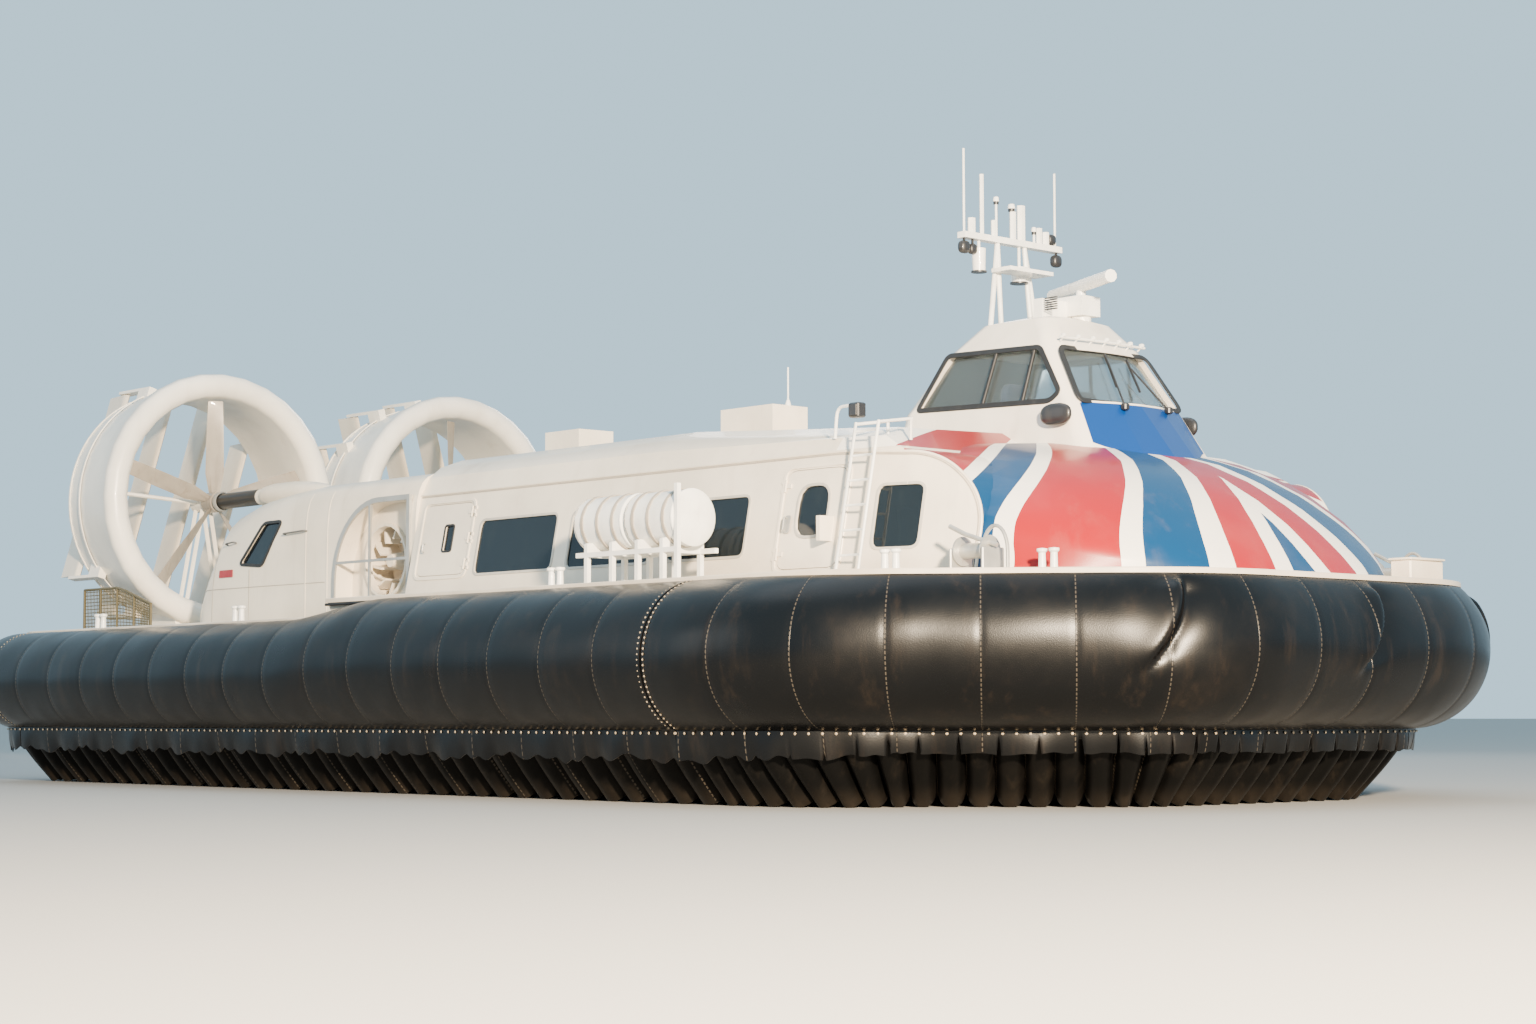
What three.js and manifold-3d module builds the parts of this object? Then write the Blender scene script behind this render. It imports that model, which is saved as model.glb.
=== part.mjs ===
import * as THREE from 'three';
import { mergeVertices } from 'three/addons/utils/BufferGeometryUtils.js';
import Module from 'manifold-3d';

// Passenger hovercraft on its inflated skirt. Millimetres, +X to the bow, +Y to port, +Z up.
// The origin is on the floor under the middle of the craft, and the finger tips touch the floor.
// Lengths along the craft are drawn from the middle of the raft, and the whole is moved forward at the end.

const wasm = await Module();
wasm.setup();

// Fits
const seat = 0.35; // gap between pieces that rest on each other
const runGap = 12; // clearance round pieces that turn
const rad = Math.PI / 180;

// Raft, the decked buoyancy hull
const deck = {
  z: 2700, aftZ: 2450, stepX: -1830, bottomZ: 1300, chineInset: 600,
  sternX: -11450, halfWidth: 5500, shoulderX: 8370, bowX: 11510, bowCornerY: 2600,
  sternRadius: 900, bowRadius: 2500,
};
const midships = 241; // from the middle of the raft to the middle of the overall length
const pad = { length: 1500, width: 360, depth: 200, aftX: -7200, foreX: 6200, y: 3300 };
// Small plates on the deck, bare on top, where lifting eyes and mooring gear bolt down
const plate = { half: 150, height: 12 };
const platePlaces = [
  { x: 11250, y: 0, z: deck.z },
  { x: 8300, y: -4750, z: deck.z },
  { x: 8300, y: 4750, z: deck.z },
  { x: -1300, y: -5000, z: deck.z },
  { x: -1300, y: 5000, z: deck.z },
  { x: -9300, y: 0, z: deck.aftZ },
];

// Skirt
const bag = {
  bulge: 850, bulgeZ: 1760, seamOut: 300, seamZ: 890,
  topZ: 2670, aftTopZ: 2400, arcSteps: 9, bowX: 6120, sternX: -10400,
};
const finger = {
  pitch: 500, recess: 75, slope: 0.4, dip: 220, topOut: 270, tipOut: -400, tipIn: -520, root: -1250, sternRoot: -860,
};
// Towards the bow the skirt tucks in under the deck, and these take the place of the values above
const tuck = {
  fromX: 6600, nextX: 7000, toX: 9400,
  bulge: 360, seamOut: -560, topOut: -590, tipOut: -1310, tipIn: -1430, root: -1900,
};

// Superstructure
const cabin = {
  aftX: -1830, halfWidth: 4200, lean: 300, gutterZ: 4250, wall: 70,
  chamferHalf: 3200, roofZ: 4800, camber: 100, roofFallX: 3500,
  bendX: 6800, bendEndX: 9150, bendIn: 800, cheekX: 8870, cheekRadius: 950, cheekTopZ: 4200,
  roofFall: 0.062, rakeX: 6000, rakeZ: 5200, // how the roof sinks ahead of roofFallX, and where its raked front starts
};
// Half width and height fall from x to the tip by these powers; the sections go from square to round
const nose = {
  x: 6970, length: 3950, half: 3700, rise: 1780, planPower: 3.5, risePower: 3.2,
  rearSquare: 4.5, tipSquare: 1.9, wall: 60,
};

// Side openings in the x-z plane, bottom left and top right corners, corner radius
const sideWindows = [
  { x0: -230, x1: 1520 },
  { x0: 1860, x1: 3610 },
  { x0: 3950, x1: 5420 },
  { x0: 7600, x1: 8180 },
];
const windowZ = { bottom: 3040, top: 3790, radius: 110 };
const door = {
  x0: 6070, x1: 7120, z0: 2830, z1: 4060, radius: 150, gap: 8,
  pane: [6330, 6860, 3230, 3850], paneRadius: 210, handle: [6930, 6990, -4290, -4050, 3150, 3450],
};
const hatch = {
  x0: -1640, x1: -470, z0: 3050, z1: 4080, radius: 130, gap: 8,
  pane: [-1080, -880, 3400, 3760], paneRadius: 40,
};
// Hinges stand off the wall; heights are measured up the slope of the wall
const hinge = { off: 20, radius: 14, knuckle: 56, strap: 90, doorUp: [330, 1190], hatchUp: [500, 880, 1260] };

// Wheelhouse: level, rear x, front x at the corners, half width, and how far the front bows out
const wheelhouseLevels = [
  { z: 3500, rear: 5000, front: 9250, half: 1450, crown: 450 },
  { z: 4240, rear: 5050, front: 8640, half: 1260, crown: 300 },
  { z: 5030, rear: 5140, front: 8190, half: 1080, crown: 150 },
  { z: 5800, rear: 5800, front: 7700, half: 900, crown: 60 },
  { z: 6150, rear: 6180, front: 7400, half: 680, crown: 30 },
  { z: 6215, rear: 6500, front: 7250, half: 420, crown: 10 },
];
const wheelhouse = { wall: 60, corner: 230, cornerSteps: 3, glass: 12, glassZ: [4930, 5800] };
const sidePane = [[5480, 5080], [7790, 5010], [7940, 5120], [7490, 5715], [5890, 5760]];
const frontPane = [[-980, 4990], [980, 4990], [830, 5700], [-830, 5700]];

// Machinery pods: station, half width, height, squareness
const pod = { y: 2463, half: 1550, wall: 60 };
const podStations = [
  { x: -8560, half: 600, rise: 620, power: 2 },
  { x: -8450, half: 1000, rise: 1120, power: 2 },
  { x: -8200, half: 1350, rise: 1600, power: 2 },
  { x: -7900, half: 1470, rise: 1850, power: 2.2 },
  { x: -7400, half: 1520, rise: 1970, power: 3.6 },
  { x: -6500, half: 1540, rise: 2050, power: 5.8 },
  { x: -5600, half: 1550, rise: 2120, power: 7 },
  { x: -4600, half: pod.half, rise: 2170, power: 8 },
  { x: deck.stepX - seat, half: pod.half, rise: 2170, power: 8 },
];
const intake = { x0: -3900, x1: -2020, z0: 2580, z1: 4200, arch: 1150, recess: 300, rim: 45, rimIn: 25, bar: 20 };
const fan = {
  x: -2950, z: 3360, eye: 560, tip: 600, width: 420, hub: 190, blades: 10, bladeRoot: 330, bladeHalf: 15,
  sweep: 28, housing: 690, shell: 40, depth: 620, spindle: 60,
};
const engine = { x0: -6700, x1: -4700, half: 520, height: 1150 };
const podWindow = [[-6660, 3460], [-6000, 3410], [-5470, 4060], [-6020, 4060]];

// Thrust ducts and what turns in them
const duct = {
  y: 2463, z: 4715, exitX: -11530, lipX: -9900, lipRadius: 210, lipMid: 1990,
  throat: 1780, exitIn: 1845, exitOut: 1960, sides: 32,
  barrelX: -10500, // the throat runs straight from the lip to here, and flares to the exit
  shoulder: [2110, -10350], skirt: [2000, -11100], // outside: radius and place along the craft
  strutR: 38, armR: 34, saddle: { x0: -10900, x1: -9950, y: 700, half: 90, down: 1790 },
};
const propeller = {
  x: -10080, hub: 175, hubHalf: 150, stub: 70, tip: 1745, blades: 5, rootChord: 360, tipChord: 250,
  // Blade stations: radius, thickness, pitch in degrees
  stations: [[120, 60, 62], [500, 44, 50], [1100, 28, 34], [1600, 18, 25], [1745, 10, 22]],
};
const bearing = { x0: -10640, x1: -10260, radius: 150 };
const shaft = { radius: 135, foreX: -8300, fairing: 215, noseX: -6350 };
const rudder = {
  x: -11886, pitch: 867, lean: 15.6, nose: 200, tail: 474, thick: 90, over: 300, count: 4, range: 30,
};

const bracket = { half: 70, reachX: 700, rootX: 990 }; // arms that hold the rudder pivots behind the duct

// The mast's legs meet in pairs under the yard; feet ahead of it, across, and level
const mastDims = {
  x: 6170, yardZ: 7350, yardHalf: 950, leg: 35, apexY: 260,
  feet: [{ ahead: 60, y: 520, z: 5750 }, { ahead: 100, y: 300, z: 6000 }],
};
const radar = { x: 7180, y: 250, deckZ: 6200, boxTop: 6520, arm: 900, turn: -23.8 };

// Materials
const finish = {
  hull: [0xe9e6dc, 0.5, 0],
  rubber: [0x14161a, 0.62, 0],
  finger: [0x0d0e10, 0.7, 0],
  cabin: [0xf1e9da, 0.38, 0],
  nose: [0xd9413f, 0.35, 0],
  seats: [0x39465a, 0.8, 0],
  glass: [0x1c2a36, 0.08, 0],
  pod: [0xf0e6d8, 0.4, 0],
  steel: [0x8c8b86, 0.45, 0.7],
  machine: [0x5d6a66, 0.55, 0.3],
  blade: [0x4c4038, 0.5, 0.1],
  black: [0x1b1b1c, 0.5, 0.1],
  mast: [0xf4f2ec, 0.35, 0.1],
};

function materialOf(key) {
  const [color, roughness, metalness] = finish[key];
  return new THREE.MeshStandardMaterial({ name: key, color, roughness, metalness });
}

// Solids

function solidOf(geometry) {
  const bare = geometry.clone();
  bare.deleteAttribute('normal');
  bare.deleteAttribute('uv');
  const merged = mergeVertices(bare, 1e-3);
  return new wasm.Manifold(new wasm.Mesh({
    numProp: 3,
    vertProperties: new Float32Array(merged.attributes.position.array),
    triVerts: new Uint32Array(merged.index.array),
  }));
}

function geometryOf(solid) {
  const mesh = solid.getMesh();
  const geometry = new THREE.BufferGeometry();
  geometry.setAttribute('position', new THREE.BufferAttribute(new Float32Array(mesh.vertProperties), 3));
  geometry.setIndex(new THREE.BufferAttribute(new Uint32Array(mesh.triVerts), 1));
  geometry.computeVertexNormals();
  return geometry;
}

function join(solids) {
  return solids.reduce((whole, next) => whole.add(next));
}

function box(x0, x1, y0, y1, z0, z1) {
  const geometry = new THREE.BoxGeometry(x1 - x0, y1 - y0, z1 - z0);
  geometry.translate((x0 + x1) / 2, (y0 + y1) / 2, (z0 + z1) / 2);
  return solidOf(geometry);
}

// A round bar from one point to another
function bar(from, to, radius, sides = 8, endRadius = radius) {
  const start = new THREE.Vector3(...from);
  const end = new THREE.Vector3(...to);
  const length = start.distanceTo(end);
  const geometry = new THREE.CylinderGeometry(endRadius, radius, length, sides);
  geometry.translate(0, length / 2, 0);
  const turn = new THREE.Quaternion().setFromUnitVectors(
    new THREE.Vector3(0, 1, 0), end.clone().sub(start).normalize());
  geometry.applyQuaternion(turn);
  geometry.translate(start.x, start.y, start.z);
  return solidOf(geometry);
}

// A closed outline whose corners are rounded
function roundedShape(points, radius) {
  const shape = new THREE.Shape();
  const count = points.length;
  for (let i = 0; i < count; i += 1) {
    const corner = new THREE.Vector2(...points[i]);
    const before = new THREE.Vector2(...points[(i + count - 1) % count]).sub(corner);
    const after = new THREE.Vector2(...points[(i + 1) % count]).sub(corner);
    const start = corner.clone().add(before.setLength(radius));
    const end = corner.clone().add(after.setLength(radius));
    if (i === 0) shape.moveTo(start.x, start.y);
    else shape.lineTo(start.x, start.y);
    shape.quadraticCurveTo(corner.x, corner.y, end.x, end.y);
  }
  shape.closePath();
  return shape;
}

function rectangle(x0, x1, z0, z1) {
  return [[x0, z0], [x1, z0], [x1, z1], [x0, z1]];
}

const axisX = new THREE.Vector3(1, 0, 0);
const axisY = new THREE.Vector3(0, 1, 0);
const axisZ = new THREE.Vector3(0, 0, 1);

// A side view outline (x, z) carried from y0 to y1
function prismSide(shape, y0, y1, segments = 3) {
  const geometry = new THREE.ExtrudeGeometry(shape, {
    depth: y1 - y0, bevelEnabled: false, curveSegments: segments,
  });
  geometry.applyMatrix4(new THREE.Matrix4().makeBasis(axisX, axisZ, axisY.clone().negate()));
  geometry.translate(0, y1, 0);
  return solidOf(geometry);
}

// An end view outline (y, z) carried from x0 to x1
function prismEnd(shape, x0, x1, segments = 3) {
  const geometry = new THREE.ExtrudeGeometry(shape, {
    depth: x1 - x0, bevelEnabled: false, curveSegments: segments,
  });
  geometry.applyMatrix4(new THREE.Matrix4().makeBasis(axisY, axisZ, axisX));
  geometry.translate(x0, 0, 0);
  return solidOf(geometry);
}

// A skin over closed sections of equal count, capped at both ends
function loft(sections) {
  const count = sections[0].length;
  const position = [];
  for (const section of sections) for (const point of section) position.push(...point);
  const index = [];
  for (let s = 0; s + 1 < sections.length; s += 1) {
    for (let i = 0; i < count; i += 1) {
      const a = s * count + i;
      const b = s * count + ((i + 1) % count);
      index.push(a, b, b + count, a, b + count, a + count);
    }
  }
  const cap = (section, first, turned) => {
    const middle = [0, 1, 2].map((k) => section.reduce((sum, p) => sum + p[k], 0) / count);
    const hub = position.length / 3;
    position.push(...middle);
    for (let i = 0; i < count; i += 1) {
      const a = first + i;
      const b = first + ((i + 1) % count);
      if (turned) index.push(hub, b, a);
      else index.push(hub, a, b);
    }
  };
  cap(sections[0], 0, true);
  cap(sections[sections.length - 1], (sections.length - 1) * count, false);
  if (volumeOf(position, index) < 0) {
    for (let i = 0; i < index.length; i += 3) [index[i], index[i + 1]] = [index[i + 1], index[i]];
  }
  const geometry = new THREE.BufferGeometry();
  geometry.setAttribute('position', new THREE.Float32BufferAttribute(position, 3));
  geometry.setIndex(index);
  return solidOf(geometry);
}

function volumeOf(position, index) {
  const point = (i) => new THREE.Vector3().fromArray(position, i * 3);
  let volume = 0;
  for (let i = 0; i < index.length; i += 3) {
    volume += point(index[i]).dot(point(index[i + 1]).cross(point(index[i + 2])));
  }
  return volume / 6;
}

// A profile of (radius, x) turned about the fore and aft line through (y, z)
function turned(profile, y, z, sides) {
  const points = [...profile, profile[0]].map(([r, x]) => new THREE.Vector2(r, x));
  const geometry = new THREE.LatheGeometry(points, sides);
  geometry.applyMatrix4(new THREE.Matrix4().makeBasis(axisZ, axisX, axisY));
  geometry.translate(0, y, z);
  const position = geometry.attributes.position.array;
  const index = Array.from(geometry.index.array);
  if (volumeOf(position, index) < 0) {
    for (let i = 0; i < index.length; i += 3) [index[i], index[i + 1]] = [index[i + 1], index[i]];
    geometry.setIndex(index);
  }
  return solidOf(geometry);
}

// The same solid moved, turned or mirrored by a matrix
function carried(solid, matrix) {
  const geometry = geometryOf(solid);
  geometry.applyMatrix4(matrix);
  if (matrix.determinant() < 0) geometry.index.array.reverse();
  return solidOf(geometry);
}

function shifted(solid, x, y, z) {
  return carried(solid, new THREE.Matrix4().makeTranslation(x, y, z));
}

function mirrored(solid) {
  return carried(solid, new THREE.Matrix4().makeScale(1, -1, 1));
}

const root = new THREE.Group();

// A piece that turns is drawn about its own pivot, at, and may lean over to one side
function addPiece(name, solid, key, at = [0, 0, 0], lean = 0) {
  const mesh = new THREE.Mesh(geometryOf(solid), materialOf(key));
  mesh.name = name;
  mesh.position.set(...at);
  mesh.rotation.x = lean;
  root.add(mesh);
}

// Adds the starboard solid, and its mirror image to port
function addPair(name, solid, key, at = [0, 0, 0], lean = 0) {
  addPiece(`${name}_starboard`, solid, key, at, lean);
  addPiece(`${name}_port`, mirrored(solid), key, [at[0], -at[1], at[2]], -lean);
}

// Deck edge: frames along the rounded plan, with the outward direction of each

// One place on the deck edge: the outward direction there, and the share of the bow's tuck
function frameAt(x, y, nx, ny) {
  return { x, y, nx, ny, share: ease(tuck.fromX, tuck.toX, x) };
}

function planFrames(arcSteps) {
  const corners = [
    { x: deck.sternX, y: 0 },
    { x: deck.sternX, y: -deck.halfWidth, radius: deck.sternRadius },
    { x: deck.shoulderX, y: -deck.halfWidth, radius: deck.bowRadius },
    { x: deck.bowX, y: -deck.bowCornerY, radius: deck.bowRadius },
    { x: deck.bowX, y: 0 },
  ];
  const frames = [frameAt(deck.sternX, 0, -1, 0)];
  for (let i = 1; i + 1 < corners.length; i += 1) {
    const corner = new THREE.Vector2(corners[i].x, corners[i].y);
    const into = corner.clone().sub(new THREE.Vector2(corners[i - 1].x, corners[i - 1].y)).normalize();
    const out = new THREE.Vector2(corners[i + 1].x, corners[i + 1].y).sub(corner).normalize();
    const turn = Math.acos(into.dot(out));
    const cut = corners[i].radius * Math.tan(turn / 2);
    const start = corner.clone().addScaledVector(into, -cut);
    const first = new THREE.Vector2(into.y, -into.x);
    const centre = start.clone().addScaledVector(first, -corners[i].radius);
    const firstAngle = Math.atan2(first.y, first.x);
    for (let k = 0; k <= arcSteps; k += 1) {
      const angle = firstAngle + (turn * k) / arcSteps;
      const c = Math.cos(angle);
      const s = Math.sin(angle);
      frames.push(frameAt(centre.x + corners[i].radius * c, centre.y + corners[i].radius * s, c, s));
    }
  }
  frames.push(frameAt(deck.bowX, 0, 1, 0));
  return frames;
}

function mirrorFrames(frames) {
  return frames.map((f) => frameAt(f.x, -f.y, f.nx, -f.ny)).reverse();
}

function mix(a, b, t) {
  return a + (b - a) * t;
}

function mixFrame(a, b, t) {
  return {
    x: mix(a.x, b.x, t),
    y: mix(a.y, b.y, t),
    nx: mix(a.nx, b.nx, t),
    ny: mix(a.ny, b.ny, t),
    share: mix(a.share, b.share, t),
  };
}

const halfPlan = planFrames(6);

// Frames of one stretch of the starboard half, between two x positions on the straight side
function bowFrames() {
  const straight = sideFrames([bag.bowX + seat, tuck.fromX, tuck.nextX]);
  const half = [...straight, ...halfPlan.filter((f) => f.x > tuck.nextX)];
  return [...half, ...mirrorFrames(half).slice(1)];
}

function sternFrames() {
  const arc = halfPlan.filter((f) => f.x < bag.sternX - 1);
  const half = [...arc, ...sideFrames([bag.sternX - seat])];
  return [...mirrorFrames(half), ...half.slice(1)];
}

function sideFrames(xs) {
  return xs.map((x) => frameAt(x, -deck.halfWidth, 0, -1));
}

// Distance of the raft's side inside the deck edge at a level
function sideInset(z) {
  return -deck.chineInset + ((z - deck.bottomZ) * deck.chineInset) / (deck.z - deck.bottomZ);
}

function ease(from, to, value) {
  const t = Math.min(1, Math.max(0, (value - from) / (to - from)));
  return t * t * (3 - 2 * t);
}

function bagTop(x) {
  return mix(bag.aftTopZ, bag.topZ, ease(-2600, -300, x));
}

// Arc through three points of a section, as steps + 1 points
function arcThrough(p, q, r, steps) {
  const [ax, ay] = p;
  const [bx, by] = q;
  const [cx, cy] = r;
  const d = 2 * (ax * (by - cy) + bx * (cy - ay) + cx * (ay - by));
  const a2 = ax * ax + ay * ay;
  const b2 = bx * bx + by * by;
  const c2 = cx * cx + cy * cy;
  const ux = (a2 * (by - cy) + b2 * (cy - ay) + c2 * (ay - by)) / d;
  const uy = (a2 * (cx - bx) + b2 * (ax - cx) + c2 * (bx - ax)) / d;
  const radius = Math.hypot(ax - ux, ay - uy);
  const start = Math.atan2(ay - uy, ax - ux);
  let end = Math.atan2(cy - uy, cx - ux);
  if (end > start) end -= 2 * Math.PI;
  const points = [];
  for (let i = 0; i <= steps; i += 1) {
    const angle = mix(start, end, i / steps);
    points.push([ux + radius * Math.cos(angle), uy + radius * Math.sin(angle)]);
  }
  return points;
}

function placed(frame, section) {
  return section.map(([out, z]) => [frame.x + frame.nx * out, frame.y + frame.ny * out, z]);
}

// A size of the bag or a finger at one frame, between its side value and its bow value
function tucked(part, key, frame) {
  return mix(part[key], tuck[key], frame.share);
}

function bagSection(frame) {
  const top = bagTop(frame.x);
  const widest = [tucked(bag, 'bulge', frame), bag.bulgeZ];
  const seam = [tucked(bag, 'seamOut', frame), bag.seamZ];
  const arc = arcThrough([sideInset(top) + seat, top], widest, seam, bag.arcSteps);
  return placed(frame, [...arc, [-deck.chineInset + seat, deck.bottomZ]]);
}

// Fingers: one wedge band with a rounded front to each finger
function fingerSection(frame, phase) {
  const recess = finger.recess * (1 - Math.sin(Math.PI * phase));
  const root = frame.x < bag.sternX ? finger.sternRoot : tucked(finger, 'root', frame);
  const top = tucked(finger, 'topOut', frame) - recess;
  const dip = finger.dip * Math.sqrt(frame.share * (1 - frame.share));
  const climb = (tucked(bag, 'seamOut', frame) - top) * finger.slope - dip;
  return placed(frame, [
    [top, bag.seamZ + climb - seat],
    [tucked(finger, 'tipOut', frame) - recess, 0],
    [tucked(finger, 'tipIn', frame), 0],
    [root, deck.bottomZ - seat],
    [-deck.chineInset - seat - dip, deck.bottomZ - seat],
  ]);
}

// Walks a list of frames in equal steps, two to a finger
function fingerFrames(frames) {
  const at = (f) => {
    const middle = (tucked(finger, 'tipOut', f) + tucked(finger, 'topOut', f)) / 2;
    return new THREE.Vector2(f.x + f.nx * middle, f.y + f.ny * middle);
  };
  const reach = [0];
  for (let i = 1; i < frames.length; i += 1) reach.push(reach[i - 1] + at(frames[i]).distanceTo(at(frames[i - 1])));
  const total = reach[reach.length - 1];
  const fingers = Math.round(total / finger.pitch);
  const steps = fingers * 2;
  const result = [];
  for (let s = 0; s <= steps; s += 1) {
    const length = (total * s) / steps;
    let i = 1;
    while (i < frames.length - 1 && reach[i] < length) i += 1;
    const t = (length - reach[i - 1]) / (reach[i] - reach[i - 1]);
    result.push({ frame: mixFrame(frames[i - 1], frames[i], t), phase: (s % 2) / 2 });
  }
  return result;
}

function makeHull() {
  const ring = (out, z) => {
    const half = halfPlan.slice(0, -1);
    const loop = [...halfPlan, ...mirrorFrames(half).slice(0, -1)];
    return loop.map((f) => [f.x + f.nx * out, f.y + f.ny * out, z]);
  };
  const raft = loft([ring(-deck.chineInset, deck.bottomZ), ring(0, deck.z)]);
  const aftDeck = box(deck.sternX - 100, deck.stepX, -6000, 6000, deck.aftZ, deck.z + 100);
  const plates = platePlaces.map(({ x, y, z }) => box(
    x - plate.half, x + plate.half, y - plate.half, y + plate.half, z - plate.height, z + plate.height));
  return join([raft.subtract(aftDeck), ...plates]);
}

// The pads that the raft comes down on when its cushion is let go
function makePads() {
  for (const [end, x] of [['fore', pad.foreX], ['aft', pad.aftX]]) {
    const block = box(x, x + pad.length, -pad.y - pad.width / 2, -pad.y + pad.width / 2,
      deck.bottomZ - pad.depth, deck.bottomZ - seat);
    addPair(`landing_pad_${end}`, block, 'rubber');
  }
}

function makeSkirt() {
  const sideX = [bag.sternX, -5500, -2600, -1900, -1450, -1000, -300, bag.bowX];
  addPiece('skirt_bag_bow', loft(bowFrames().map(bagSection)), 'rubber');
  addPair('skirt_bag', loft(sideFrames(sideX).map(bagSection)), 'rubber');
  addPiece('skirt_bag_stern', loft(sternFrames().map(bagSection)), 'rubber');
  const band = (frames) => loft(fingerFrames(frames).map(({ frame, phase }) => fingerSection(frame, phase)));
  addPiece('skirt_fingers_bow', band(bowFrames()), 'finger');
  addPair('skirt_fingers', band(sideFrames([bag.sternX, -5500, bag.bowX])), 'finger');
  addPiece('skirt_fingers_stern', band(sternFrames()), 'finger');
}

// Cabin body: flat leaning walls up to the gutter, a bevel, and a cambered roof

function cabinSection(x, grow) {
  const bend = Math.max(0, (x - cabin.bendX) / (cabin.bendEndX - cabin.bendX));
  const low = cabin.halfWidth - cabin.bendIn * bend * bend;
  const fall = Math.max(0, x - cabin.roofFallX) * cabin.roofFall;
  const ridge = cabin.roofZ - fall;
  const half = [
    [low + grow, deck.z + seat],
    [low - cabin.lean + grow, cabin.gutterZ],
    [low - cabin.lean - 130 + grow, cabin.gutterZ + 260 - fall * 0.4 + grow],
    [low - cabin.lean - 330 + grow * 0.8, ridge - 130 + grow],
    [(low * cabin.chamferHalf) / cabin.halfWidth, ridge + grow],
    [0, ridge + cabin.camber + grow],
  ];
  const port = half.slice(0, -1).reverse().map(([y, z]) => [y, z]);
  return [...half.map(([y, z]) => [x, -y, z]), ...port.map(([y, z]) => [x, y, z])];
}

// Side profile of the cabin: the raked roof front and the round cheeks
function cabinProfile(grow) {
  const shape = new THREE.Shape();
  const centreX = cabin.cheekX - cabin.cheekRadius;
  const centreZ = cabin.cheekTopZ - cabin.cheekRadius;
  const radius = cabin.cheekRadius + grow;
  shape.moveTo(-3000, 2000);
  shape.lineTo(cabin.cheekX + grow + 60, 2000);
  shape.lineTo(cabin.cheekX + grow, centreZ);
  shape.absarc(centreX, centreZ, radius, 0, Math.PI / 2, false);
  shape.lineTo(cabin.rakeX, cabin.rakeZ + grow);
  shape.lineTo(-3000, cabin.rakeZ + grow);
  shape.closePath();
  return prismSide(shape, -6000, 6000, 6);
}

function cabinBody(grow, aftX) {
  const bends = [0, 0.25, 0.5, 0.75, 1].map((t) => mix(cabin.bendX, cabin.bendEndX, t));
  const xs = [aftX, cabin.roofFallX, ...bends];
  return loft(xs.map((x) => cabinSection(x, grow))).intersect(cabinProfile(grow));
}

// Nose: a dome whose sections are rounded arches that shrink towards the bow

function noseBody(grow) {
  return loft([0, 0.25, 0.42, 0.56, 0.68, 0.78, 0.86, 0.92, 0.96, 0.985, 0.996].map((t) => {
    const half = nose.half * Math.sqrt(1 - t ** nose.planPower) + grow;
    const rise = nose.rise * (1 - t ** nose.risePower) + grow;
    const square = mix(nose.tipSquare, nose.rearSquare, (1 - t) ** 2);
    return arch(nose.x + nose.length * t, 0, half, deck.z + seat, rise, square, 9);
  }));
}

// Half a rounded rectangle standing on its base, as a closed section
function arch(x, y, half, base, rise, power, steps) {
  const points = [];
  for (let i = 0; i <= 2 * steps; i += 1) {
    const angle = (Math.PI * i) / (2 * steps);
    const c = Math.cos(angle);
    const s = Math.sin(angle);
    points.push([
      x,
      y - Math.sign(c) * half * Math.abs(c) ** (2 / power),
      base + rise * s ** (2 / power),
    ]);
  }
  return points;
}

// Wheelhouse: level sections, rounded rectangles drawn from the table above

function wheelhouseBody(grow, dropZ = 0) {
  const sections = wheelhouseLevels.map((level, i) => {
    const drop = i === 0 ? dropZ : 0;
    const z = level.z - drop + (i === wheelhouseLevels.length - 1 ? grow : 0);
    const { corner } = wheelhouse;
    const points = [];
    const corners = [
      [level.front + grow - corner, level.half + grow - corner, 0],
      [level.rear - grow + corner, level.half + grow - corner, 90],
      [level.rear - grow + corner, -level.half - grow + corner, 180],
      [level.front + grow - corner, -level.half - grow + corner, 270],
    ];
    for (const [x, y, first] of corners) {
      for (let k = 0; k <= wheelhouse.cornerSteps; k += 1) {
        const angle = (first + (90 * k) / wheelhouse.cornerSteps) * rad;
        points.push([x + corner * Math.cos(angle), y + corner * Math.sin(angle), z]);
      }
    }
    for (const share of [-0.5, 0, 0.5]) {
      const y = share * (level.half + grow - corner);
      points.push([level.front + grow + level.crown * (1 - share * share), y, z]);
    }
    return points;
  });
  return loft(sections);
}

// The cabin wall leans, so what is fixed to it is drawn upright and then tipped: out of the wall, up the wall
const wallSlope = Math.atan2(cabin.lean, cabin.gutterZ - deck.z);
const wallReach = 600; // how far a cutter stands out of the wall on both sides

function onWall(solid) {
  const tip = new THREE.Matrix4().makeRotationX(-wallSlope);
  tip.setPosition(0, -cabin.halfWidth, deck.z);
  return carried(solid, tip);
}

// A side view outline (x, z) cut square through the leaning wall
function throughWall(outline, radius) {
  const upWall = outline.map(([x, z]) => [x, (z - deck.z) / Math.cos(wallSlope)]);
  return onWall(prismSide(roundedShape(upWall, radius), -wallReach, wallReach));
}

// Two halves of the hinges on one edge: the half on the leaf, and the half on the frame
function hinges(x, towards, heights) {
  const leaf = [];
  const frame = [];
  const knuckle = (from, to) => bar([x, -hinge.off, from], [x, -hinge.off, to], hinge.radius, 6);
  const strap = (side, from, to) => box(
    Math.min(x, x + side * hinge.strap), Math.max(x, x + side * hinge.strap), -hinge.off + 4, 5, from, to);
  for (const up of heights) {
    const low = up - hinge.knuckle / 2;
    const high = up + hinge.knuckle / 2;
    leaf.push(knuckle(low, high), strap(towards, low, high));
    for (const [from, to] of [[low - 50, low - seat], [high + seat, high + 50]]) {
      frame.push(knuckle(from, to), strap(-towards, from, to));
    }
  }
  return { leaf: onWall(join(leaf)), frame: onWall(join(frame)) };
}

const doorHinges = hinges(door.x0 + door.gap / 2, 1, hinge.doorUp);
const hatchHinges = hinges(hatch.x1 - hatch.gap / 2, -1, hinge.hatchUp);

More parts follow.
